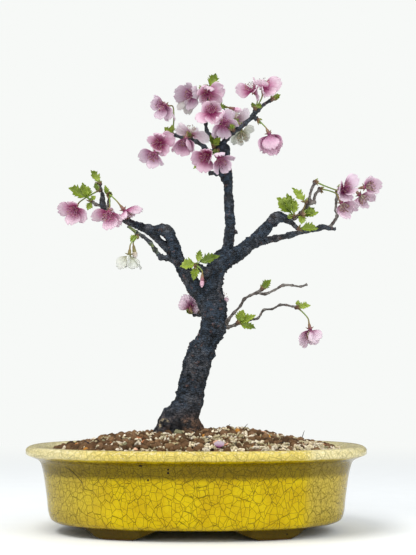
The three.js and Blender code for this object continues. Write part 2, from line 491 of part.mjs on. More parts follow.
function makeRootstock(grow) {
  const roots = ROOTS.map((points) => limb(points, ...ROOT_FACETS, 1, grow));
  return joined([limb(TRUNK, ...TRUNK_FACETS, 1, grow), ...roots]);
}

function makeWood(grow) {
  const limbs = LIMBS.map((points) => limb(points, ...LIMB_FACETS, 1, grow));
  const twigs = TWIGS.map((points) => limb(points, ...TWIG_FACETS, TWIG_RELIEF, grow));
  return joined([makeRootstock(grow), ...limbs, ...twigs]);
}

// ---------- petals, leaves and stalks ----------
// A blade of three columns: rows run from the point at its foot to its tip.
// Each row is [left, middle, right]; both faces are split into the same triangles.
function blade(foot, rows, tip, normal, half) {
  const line = [foot, ...rows.flat(), ...(tip ? [tip] : [])];
  const count = line.length;
  const top = [[0, 1, 2], [0, 2, 3]];
  for (let i = 0; i + 1 < rows.length; i += 1) {
    const [l, m, r] = [1 + 3 * i, 2 + 3 * i, 3 + 3 * i];
    top.push([l, l + 3, m + 3], [l, m + 3, m], [m, m + 3, r + 3], [m, r + 3, r]);
  }
  const end = 3 * rows.length - 2;
  if (tip) top.push([end, count - 1, end + 1], [end + 1, count - 1, end + 2]);
  const rim = rimOf(rows.length, tip ? count - 1 : null);
  const triangles = top.flatMap(([a, b, c]) => [[a, b, c], [a + count, c + count, b + count]]);
  rim.forEach((a, i) => {
    const b = rim[(i + 1) % rim.length];
    triangles.push([a, a + count, b + count], [a, b + count, b]);
  });
  const lift = normal.clone().multiplyScalar(half);
  const front = line.map((p) => p.clone().add(lift));
  const back = line.map((p) => p.clone().sub(lift));
  return skin([...front, ...back], triangles);
}

function rimOf(rows, tip) {
  const left = Array.from({ length: rows }, (_, i) => 1 + 3 * i);
  const right = left.map((i) => i + 2).reverse();
  return [0, ...left, tip === null ? 3 * rows - 1 : tip, ...right];
}

// Directions of a blade that runs along `along` and looks towards `face`
function bladeFrame(along, face, twist) {
  const run = along.clone().normalize();
  const normal = face.clone().addScaledVector(run, -face.dot(run)).normalize();
  normal.applyAxisAngle(run, THREE.MathUtils.degToRad(twist));
  return { run, normal, side: run.clone().cross(normal) };
}

// A petal's direction and length, its half width, its bow away from the face, and its middle
function petalFrame(bloom, [clock, reach, depth, twist = 0]) {
  const angle = THREE.MathUtils.degToRad(clock);
  const along = new THREE.Vector3(reach * Math.sin(angle), depth, reach * Math.cos(angle));
  const face = vec(bloom.face).normalize();
  const frame = bladeFrame(along, face, twist);
  if (frame.side.dot(face.clone().cross(frame.run)) < 0) frame.side.negate();
  const length = along.length();
  const bow = length * (PETAL_BOW + CUP_BOW * Math.max(0, frame.run.dot(face)));
  const belly = frame.run.clone().multiplyScalar(length * PETAL_BELLY)
    .addScaledVector(frame.normal, -bow);
  return { ...frame, length, bow, belly, half: (PETAL_WIDTH * length) / 2 };
}

// left, middle and right of the widest row, then of the notched tip
function petalPoints(centre, { run, normal, side, length, half, bow }, grow) {
  const at = (share, q, sag) => centre.clone()
    .addScaledVector(run, (length + grow) * share)
    .addScaledVector(side, q * (half + grow))
    .addScaledVector(normal, -bow * sag);
  const belly = [at(PETAL_BELLY, -1, 0.5), at(PETAL_BELLY, 0, 1), at(PETAL_BELLY, 1, 0.5)];
  const tip = [at(1, -PETAL_TIP, 0), at(PETAL_NOTCH, 0, 0), at(1, PETAL_TIP, 0)];
  return [...belly, ...tip];
}

// The way a flower looks, and two directions across it
function bloomAxes(bloom) {
  const face = vec(bloom.face).normalize();
  const { normal: up, side: over } = bladeFrame(face, new THREE.Vector3(0.3, 0.2, 1), 0);
  return { centre: vec(bloom.at), face, up, over };
}

// Petals in their order round the face, none wider than its neighbours leave room for
function petalsInOrder(bloom, { up, over }) {
  const petals = bloom.petals.map((shape) => {
    const petal = petalFrame(bloom, shape);
    return { ...petal, turn: Math.atan2(petal.run.dot(over), petal.run.dot(up)) };
  });
  petals.sort((a, b) => a.turn - b.turn);
  return petals.map((petal, i) => {
    const beside = [petals.at(i - 1), petals[(i + 1) % petals.length]];
    const room = beside.map((other) => petal.belly.distanceTo(other.belly));
    return { ...petal, half: Math.min(petal.half, PETAL_SHARE * Math.min(...room)) };
  });
}

// The point at the hub between a petal and the one before it
function seam(petal, last, { centre, face, up, over }, grow) {
  const step = (petal.turn - last.turn + 2 * Math.PI) % (2 * Math.PI);
  const turn = petal.turn - step / 2;
  const lean = (petal.run.dot(face) + last.run.dot(face)) / 2;
  const point = centre.clone()
    .addScaledVector(up, (HUB_RADIUS + grow) * Math.cos(turn))
    .addScaledVector(over, (HUB_RADIUS + grow) * Math.sin(turn))
    .addScaledVector(face, HUB_RADIUS * lean);
  return { point, normal: petal.normal.clone().add(last.normal).normalize() };
}

// One petal's share of the skin: front and back in the same triangles, then its rim.
// Points are the hub's middle, the seams, then six points for each petal, for either face.
function petalTriangles(i, count) {
  const size = 1 + 7 * count;
  const [a, b] = [1 + i, 1 + ((i + 1) % count)];
  const [l, m, r, t, n, u] = [0, 1, 2, 3, 4, 5].map((k) => 1 + count + 6 * i + k);
  const front = [
    [0, a, b], [a, l, m], [a, m, b], [b, m, r], [l, t, n], [l, n, m], [m, n, u], [m, u, r],
  ];
  const back = front.map(([p, q, s]) => [p + size, s + size, q + size]);
  const rim = [a, l, t, n, u, r, b];
  const edge = rim.slice(1).flatMap((q, k) => [
    [rim[k], rim[k] + size, q + size], [rim[k], q + size, q],
  ]);
  return [...front, ...back, ...edge];
}

// A flower in one closed skin, with the tuft of stamens as its hub's raised middle
function makeBloom(bloom, grow) {
  const axes = bloomAxes(bloom);
  const petals = petalsInOrder(bloom, axes);
  const sheet = [
    ...petals.map((petal, i) => seam(petal, petals.at(i - 1), axes, grow)),
    ...petals.flatMap((petal) => petalPoints(axes.centre, petal, grow)
      .map((point) => ({ point, normal: petal.normal }))),
  ];
  const lifted = (reach) => sheet.map(({ point, normal }) => (
    point.clone().addScaledVector(normal, reach)));
  const top = axes.centre.clone().addScaledVector(axes.face, TUFT_HEIGHT + grow);
  const under = axes.centre.clone().addScaledVector(axes.face, -HUB_DEPTH - grow);
  const points = [top, ...lifted(BLADE + grow), under, ...lifted(-BLADE - grow)];
  return skin(points, petals.flatMap((_, i) => petalTriangles(i, petals.length)));
}

function knob(centre, radius) {
  return solidOf(new THREE.OctahedronGeometry(radius).translate(...centre));
}

// A thin rod with one ring at each of its [x, y, z, radius] points
function rod(points, sides, grow) {
  return limb(points, sides, 0, 0, grow);
}

function makeBud([from, to], grow) {
  const [a, b] = [vec(from), vec(to)];
  const along = (share, radius) => [...a.clone().lerp(b, share), radius];
  return rod([along(0, 1.2), along(0.3, 2.3), along(0.65, 2), along(1, 0.7)], 6, grow);
}

// Where a flower joins its stalk, and the way it looks
function flowerSeat(name) {
  if (BUDS[name]) {
    const [from, to] = BUDS[name].map(vec);
    return { at: from, face: to.sub(from).normalize(), back: -0.5, bend: STALK_BEND };
  }
  const { at, face, bend = STALK_BEND } = BLOOMS[name];
  return { at: vec(at), face: vec(face).normalize(), back: HUB_DEPTH + GAP, bend };
}

// Flower stalk: out of the bud, curving round to the calyx behind the flower
function stalk(bud, name, grow) {
  const { at, face, back, bend } = flowerSeat(name);
  const end = (distance) => at.clone().addScaledVector(face, -distance);
  const start = vec(bud);
  const neck = end(back + CALYX_LENGTH);
  const turn = end(back + CALYX_LENGTH + start.distanceTo(neck) * bend);
  const middle = start.clone().lerp(turn, 0.55);
  return rod([
    [...start, 0.8], [...middle, 0.6], [...turn.lerp(neck, 0.35), 0.6], [...neck, 0.8],
    [...end(back + 3), 1.4], [...end(back), 1.6],
  ], 4, grow);
}

// share of the length, share of the half width: a tooth on each side
const LEAF_ROWS = [[0.3, 0.85], [0.6, 1], [0.66, 0.72]];

function leaf(bud, [base, tip, width], grow) {
  const [foot, end] = [vec(base), vec(tip)];
  const along = end.clone().sub(foot);
  const { run, normal, side } = bladeFrame(along, new THREE.Vector3(0.2, -1, 0.35), 0);
  const length = along.length();
  const rows = LEAF_ROWS.map(([share, wide]) => [-1, 0, 1].map((q) => (
    foot.clone()
      .addScaledVector(run, length * share)
      .addScaledVector(side, q * ((wide * width) / 2 + grow))
      .addScaledVector(normal, Math.abs(q) * wide * width * 0.14))));
  return blade(vec(bud), rows, end.addScaledVector(run, grow), normal, BLADE + grow);
}

function nearest(buds, point) {
  return buds.reduce((best, bud) => (
    vec(bud).distanceTo(point) < vec(best).distanceTo(point) ? bud : best));
}

function makeSpray({ buds, flowers, leaves }, grow) {
  const parts = buds.map((bud) => knob(bud, 2.3 + grow));
  for (let i = 1; i < buds.length; i += 1) {
    parts.push(rod([[...buds[i - 1], 0.9], [...buds[i], 0.9]], 4, grow));
  }
  for (const name of flowers) {
    parts.push(stalk(nearest(buds, flowerSeat(name).at), name, grow));
    if (BUDS[name]) parts.push(makeBud(BUDS[name], grow));
  }
  for (const shape of leaves) parts.push(leaf(nearest(buds, vec(shape[0])), shape, grow));
  return joined(parts);
}

function makeFallenPetal(grow) {
  const { x, y, lift, petal } = FALLEN_PETAL;
  const at = vec([x, y, soilHeight(x, y) + lift]);
  const frame = petalFrame(FALLEN_PETAL, petal);
  const [l, m, r, ...tip] = petalPoints(at, frame, grow);
  return blade(at, [[l, m, r], tip], null, frame.normal, BLADE + grow);
}

// ---------- assembly ----------
const MATERIALS = {
  glaze: [0xd9c31c, 0.18],
  grit: [0x8a6a50, 0.95],
  screen: [0x2b2d2c, 0.6],
  bark: [0x2c2220, 0.9],
  petal: [0xe3a3c6, 0.6],
  green: [0x6f9a2c, 0.6],
};

function add(group, name, solid, look) {
  const mesh = solid.getMesh();
  const geometry = new THREE.BufferGeometry();
  geometry.setAttribute('position', new THREE.BufferAttribute(mesh.vertProperties, 3));
  geometry.setIndex(new THREE.BufferAttribute(mesh.triVerts, 1));
  geometry.translate(ORIGIN_X, 0, 0);
  geometry.computeVertexNormals();
  const [color, roughness] = MATERIALS[look];
  const piece = new THREE.Mesh(geometry, new THREE.MeshStandardMaterial({ color, roughness }));
  piece.name = name;
  group.add(piece);
}

function touches(a, b) {
  const [p, q] = [a.boundingBox(), b.boundingBox()];
  return [0, 1, 2].every((i) => p.min[i] < q.max[i] && q.min[i] < p.max[i]);
}

// Trims a solid back to a small gap from the grown copies of its neighbours
function clearOf(solid, neighbours) {
  const near = neighbours.filter((other) => touches(solid, other));
  return near.length ? largest(solid.subtract(joined(near))) : solid;
}

function build() {
  const group = new THREE.Group();
  add(group, 'pot', makePot(), 'glaze');
  add(group, 'drain_screen_left', makeScreen(-DRAIN_X), 'screen');
  add(group, 'drain_screen_right', makeScreen(DRAIN_X), 'screen');
  add(group, 'soil', makeSoil([makeRootstock(GAP), makeFallenPetal(GAP)]), 'grit');
  add(group, 'tree', makeWood(0), 'bark');
  add(group, 'fallen_petal', makeFallenPetal(0), 'petal');

  const taken = [makeWood(GAP)];
  for (const [name, bloom] of Object.entries(BLOOMS)) {
    add(group, name, clearOf(makeBloom(bloom, 0), taken), 'petal');
    taken.push(makeBloom(bloom, GAP));
  }
  for (const [name, shape] of Object.entries(SPRAYS)) {
    add(group, name, clearOf(makeSpray(shape, 0), taken), 'green');
    taken.push(makeSpray(shape, GAP));
  }
  return group;
}

export default build();
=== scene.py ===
"""A flowering cherry bonsai in a crackle-glazed oval pot, dressed over its CAD frame.

Lists below are in millimetres about the centre of the pot's foot, +Z up, viewer on the -Y side.
ORIGIN_X moves them into the frame, and MM turns them into metres.
"""
import math

import bmesh
import bpy
import numpy as np
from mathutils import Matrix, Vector
from mathutils.kdtree import KDTree


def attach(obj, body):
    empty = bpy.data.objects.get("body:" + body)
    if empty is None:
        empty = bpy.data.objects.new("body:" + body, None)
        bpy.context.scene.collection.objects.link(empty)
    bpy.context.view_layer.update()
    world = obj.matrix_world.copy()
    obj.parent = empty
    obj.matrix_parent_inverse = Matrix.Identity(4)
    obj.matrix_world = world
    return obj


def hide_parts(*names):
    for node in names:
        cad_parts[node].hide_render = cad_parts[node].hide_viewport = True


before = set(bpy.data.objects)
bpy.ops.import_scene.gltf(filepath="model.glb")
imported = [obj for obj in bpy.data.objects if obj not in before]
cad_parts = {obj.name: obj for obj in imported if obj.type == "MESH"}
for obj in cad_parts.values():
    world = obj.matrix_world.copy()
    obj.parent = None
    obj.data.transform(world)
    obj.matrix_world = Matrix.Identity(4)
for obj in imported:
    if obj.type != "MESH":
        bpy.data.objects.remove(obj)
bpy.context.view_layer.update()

MM = 0.001
ORIGIN_X = -9.2
UP = np.array([0.0, 0.0, 1.0])

# ---------- pot and soil ----------
OVAL_POWER = 2.3
OVAL_NARROWING = 37  # half width = half length - this
POT_OUTSIDE = [
    (123.5, 9), (127.2, 11.2), (129.6, 17.5), (131, 29), (135, 54), (137.9, 61.5),
    (145, 65.2), (149.6, 67.6), (149.6, 71.2), (146.8, 73.8), (140, 74.3), (133, 72.8),
]
POT_INSIDE = [(131, 69), (122, 19), (117.5, 16)]
LIP_HALF_LENGTH = 149.6
POT_SIDES = 180
OVAL_STEPS = 2400  # points from which an even oval is measured
SPAN_OVAL = 130  # half length of the oval round which the glaze's UVs are measured
FOOT_LENGTH = 119.5
FOOT_WALL = 9
FOOT_HEIGHT = 9
FOOT_EDGE = [(-1.6, 0), (-1, 0.5), (-0.4, 3), (0, 9.5)]  # the foot's outside: how far out, and height
FOOT_FRONT_GAP = [(52, 0), (47.5, 1.9), (41.5, 4.2), (36.5, 6.4), (31, 9)]
FOOT_SIDE_GAP = [(66, 0), (63.5, 1.9), (62, 4), (60, 6.4), (56, 9)]
DRAIN_X = 45
DRAIN_RADIUS = 9
SCREEN_SIZE = 26
SCREEN_HEIGHT = 16.75
SCREEN_WIRE = 0.36
SOIL_EDGE = 69.2
SOIL_CROWN = 16.5
SOIL_RIM = 130.2
SOIL_HUMP = (38, 22, 45, 3)  # x, its reach along x and y, and its height
BED_DROP = 3.4  # from the grains' tops down to the dark soil between them
GRAIN_GAP = 4.6
FOOT_STEP = 6.0  # the foot stands in from the wall by less than this
# cracks by generation: cells a tenth of a metre, and the half width of a thin and a thick crack in cells
CRACKS = [(9.2, 0.014, 0.04), (12.6, 0.014, 0.048), (16.0, 0.012, 0.05), (31.0, 0.014, 0.062)]
# small pits in the glaze of the front: x, z, half width, half height and darkness
PITS = [
    (-44.2, 62.5, 1.6, 0.8, 0.95), (-21.9, 59.4, 0.8, 0.7, 1), (-21.9, 56.6, 0.9, 0.8, 1),
    (-38.2, 50.7, 0.8, 0.9, 0.9), (-79.6, 63, 1.2, 0.6, 0.4), (75.6, 4.4, 0.7, 0.7, 0.8),
]
GRAINS = {
    "clay": ["705438", "61472c", "7c5e42", "523c26", "866646", "684c32"],
    "pumice": ["efe2c4", "d8cba8", "fff2d8", "c4b690", "e4d3b0", "b4a67e"],
    "odd": ["c98a3c", "e0b090", "3a3234", "8e8c6a", "b8744a", "74706a"],
}
# dead needles in the soil: foot and tip
NEEDLES = [
    ((94, 20, 76), (97, 17, 86)), ((40, -8, 87), (45, -12, 93)), ((25, 12, 87), (30, 9, 92)),
    ((-70, -30, 80), (-62, -36, 81.5)), ((70, -48, 78), (79, -45, 80)),
]

# ---------- the wood: x, y, z and radius along each limb ----------
TRUNK = [
    (-16.5, 4, 64, 22), (-16.3, 4, 78, 22), (-15.2, 4, 88.8, 19.8), (-13.4, 3, 98.5, 17.4),
    (-7.3, 2, 110.5, 13), (-5.5, 1, 121, 12.1), (-3.8, 0, 131.5, 11.6), (-0.4, 0, 140.5, 12.2),
    (4.2, 0, 157, 12.1), (8.9, -1, 165.3, 9.6), (14.4, -1, 177.6, 11.6), (15.6, -1, 186.5, 10.9),
    (15.2, 0, 196.5, 12.4), (14.3, 0, 206.3, 10.5), (14.5, 0, 213, 8.6),
]
ROOTS = [
    [(-19.5, 3, 96, 8.2), (-25.5, 2, 91.5, 8), (-31.5, 1, 84, 7.2), (-37, 0, 70, 5)],
    [(-19.5, 0, 95.5, 8), (-25, -9, 91.5, 7.5), (-28.3, -13, 87.5, 6.5), (-30, -15, 70, 5)],
    [(-10, -2, 100, 9), (-8, -9, 91, 9), (-5, -14, 82, 8), (-3, -17, 68, 5)],
    [(-8, 5, 98, 8), (-2, 7, 89, 7.5), (2, 9, 80, 6.5), (5, 10, 68, 5)],
    [(-15.5, 8, 98, 8.6), (-17, 15, 91, 8.8), (-19, 21, 82, 8), (-20, 24, 68, 5)],
]
LIMBS = [
    # upright stem
    [(14.5, 0, 203, 9.5), (14.5, 0, 211.7, 8.7), (14.7, 0, 220.7, 8.6), (17, 0, 231.5, 8.6),
     (20.5, 1, 238, 7.6), (27.3, 3, 248, 5.2), (29.2, 4, 259, 5), (30.1, 4, 269.9, 4.6),
     (29.7, 4, 282.7, 4.4), (29, 3, 295.3, 4.2), (28.3, 2, 307.9, 4.3), (25.6, 1, 318.7, 6.2),
     (23.8, 0, 329.4, 5.5), (24.2, 0, 339, 6.1), (21.6, 0, 345, 3.6)],
    # right limb, with the knob at its end
    [(17, 0, 227, 7), (19.2, 0, 233.3, 8), (30.8, -3, 240.2, 7), (41.5, -6, 247.5, 6),
     (51.3, -8, 255.8, 5.5), (59.2, -10, 263.2, 5), (65.4, -11, 269.8, 4.6), (71.6, -12, 275.5, 5.6),
     (77, -12, 275.1, 4.2), (83.2, -12, 271.9, 2.9), (90.3, -11, 265.3, 2)],
    # long lower branch on the right
    [(41.5, -5, 248, 5.2), (47.9, -2, 252, 4.8), (58.8, 2, 255.6, 3.6), (70.7, 5, 258.6, 3),
     (82.7, 8, 261.8, 2.9), (95.6, 11, 265.5, 2.5), (108.5, 13, 268, 2.3), (115, 14, 270.3, 2.8),
     (121.3, 14, 269.1, 2), (126.9, 15, 268.3, 1.8)],
    # left limb, as far as its bud twigs
    [(10.2, 0, 192, 6.5), (5.8, 1, 203.7, 7), (-3.1, 2, 216.4, 7.1), (-10.5, 3, 229.6, 6.7),
     (-18.2, 4, 242.7, 5.8), (-21.9, 3, 255.6, 5.3), (-26.6, 3, 264.8, 5.8), (-33.1, 4, 266.4, 5),
     (-38, 5, 265.6, 4.4), (-43.8, 6, 267, 4.4), (-51.3, 7, 269.8, 3.7), (-62.3, 8, 274.2, 3),
     (-74.2, 10, 279.8, 2.6), (-84.8, 11, 287.6, 3.2), (-86, 11, 291.5, 2.6), (-85.8, 11, 298.3, 1.9),
     (-88, 12, 308, 1.7)],
    # the limb that closes the eye in the left limb
    [(-16, 5, 238, 4.2), (-21.4, 6, 244.4, 4), (-28.8, 7, 251.8, 3.3), (-35.8, 7, 258.8, 3.4),
     (-42.2, 6, 267.4, 4)],
]
TWIGS = [
    # up from the end of the long lower branch
    [(121.3, 14, 270, 1.6), (127.8, 14, 280.3, 1.4), (126.8, 13, 285.7, 1.3), (127.1, 12, 294.8, 1.2),
     (128.1, 11, 301.5, 1.4)],
    # from the right knob to its whorl, and the two twigs above it
    [(77, -12, 275, 2.6), (87.4, -13, 274.9, 1.8), (92.6, -14, 279.3, 1.6), (97.7, -15, 285, 1.8),
     (100.9, -15, 289, 2.6)],
    [(96.5, -15, 289.8, 1.4), (100.9, -15, 289, 2.4), (106, -15, 288.6, 1.5)],
    [(99.5, -15, 288.5, 1.5), (102, -17, 299.5, 1.2), (104.9, -18, 305.6, 1.4)],
    [(103.8, -15, 288.5, 1.5), (106.2, -12, 296.6, 1.2), (109.6, -10.3, 300.4, 1.5)],
    # bud twigs at the end of the left limb
    [(-81.5, 10.5, 286, 1.8), (-79.8, 10, 293.6, 1.3), (-79.7, 8.5, 297.4, 1.3)],
    [(-85.5, 11, 289.5, 1.8), (-91.6, 11, 290.5, 1.4), (-94.6, 11, 292.8, 1.5)],
    # side branch under the left limb and its mossy shoot
    [(-10, 0, 230.5, 3), (-18.3, -5, 235.5, 2.5), (-26.3, -8, 239.4, 2.4), (-31.5, -9, 240.6, 2.5),
     (-36.8, -10, 246.7, 2), (-41, -11, 252.8, 1.8), (-47.5, -12, 258.6, 1.7),
     (-53.6, -13, 262.3, 1.5), (-60.8, -14, 267.7, 1.3)],
    # stub in the fork
    [(10.2, -2, 224.9, 5), (9.3, -7, 227.3, 4.4), (3.1, -11, 230.5, 3.3), (0.8, -12.2, 232, 2.4)],
    # small twig behind the trunk
    [(12, 5, 187, 2.2), (8.4, 9, 188.8, 1.9), (2.1, 15, 190, 1.5), (-2.6, 19.4, 190.4, 1.5)],
    # stub and spur on the upright stem
    [(25, 1, 318, 3), (17.5, 0, 317.6, 2.3), (11.1, -1, 317.4, 1.8)],
    [(29.5, 4, 262, 2.4), (36.2, 2, 264.6, 1.7)],
    # the two thin twigs low on the right
    [(23, -3, 181, 2.6), (26.2, -6, 181.9, 2.1), (27.9, -10, 184.3, 1.6), (33, -12, 190.4, 1.3),
     (38.8, -14, 196.5, 1.1), (42.4, -15, 202.6, 1.4), (47.6, -16, 205.7, 1.1),
     (53, -17, 207.8, 1.3), (60.4, -19, 206.8, 1.3), (68.7, -21, 210.2, 1), (76.1, -22, 214.2, 1.3),
     (83.9, -23, 214.1, 0.9), (91.4, -24, 213, 0.9), (97, -25, 214.8, 1.1)],
    [(24, -3, 178, 2.1), (28, -6, 178.3, 1.6), (34.2, -8, 180, 1.3), (40.1, -8, 181.8, 1.2),
     (47.8, -8, 184.8, 1.1), (54.5, -7, 186, 1.1), (59.8, -7, 193.4, 1), (67.2, -6, 194.3, 0.9),
     (74.3, -6, 197.9, 1.1), (79.1, -5, 198, 0.9), (85.6, -5, 196.6, 0.9), (88.3, -5, 196.2, 1)],
    [(53, -17, 207.8, 1.3), (57, -18, 210.5, 1.2)],
    # crown: right twig with two spurs, left twig, upright twig
    [(23, 0, 343, 3), (27.4, -2, 349.2, 2.4), (32.6, -3, 353.9, 2.2), (37.8, -5, 357, 2.3),
     (43.5, -6, 361.6, 2), (50, -7, 367.3, 2), (55.5, -8, 373.2, 1.5), (60.5, -9, 378.2, 1.3),
     (66, -10, 381.6, 1.6)],
    [(51, -7.5, 369, 1.7), (52.6, -8.5, 372.4, 1.7)],
    [(50.5, -7.5, 367.5, 1.7), (54, -8, 365.3, 1.9)],
    [(22, 2, 339, 3.4), (18.1, 4, 339.3, 2.6), (12.1, 6, 338.1, 2.2), (6.6, 8, 343, 2),
     (-0.3, 9, 347.9, 1.9), (-5.6, 10, 350.2, 1.8), (-13.5, 10, 351.9, 1.6), (-20.3, 10, 354.2, 1.7)],
    [(21.1, 1, 343.5, 3), (16.6, 5, 347.8, 2.2), (13.7, 6, 352.2, 1.8), (9.3, 7, 357.4, 1.6),
     (8.3, 7, 363.9, 1.5), (8.9, 7, 376.8, 1.4), (9.6, 6, 383, 1.5), (10.2, 5, 387.5, 1.4),
     (10.4, 4, 394.5, 1.5)],
]
CALLUS = [(-24, -10, 93, 4), (-27, -17, 92.6, 4.9), (-27.6, -18.8, 92.5, 4.9), (-27.8, -19.4, 92.4, 4.4)]
HOLLOW = (-16.5, 91.5, 6.5)  # the shaded hollow beside the old cut: x, z and reach
# lumpy old pruning knots: x, z and reach
KNOTS = [(69, 276, 6), (-27, 267, 4.5), (-44, 268.5, 3.5)]
# the trunk's left flank above its roots: x, z, reach and how far it stands out
FLANK = [(-26.5, 112, 6, -3.2), (-31.5, 99, 5, 1.3)]
YOUNG_TWIGS = (0, 1, 2, 3, 4, 5, 6, 12, 13, 14)  # paler, browner wood
# x, y, z and reach of the mossy patches
MOSS = [(-57, -13, 265, 6), (-39, -10, 248, 4.5)]

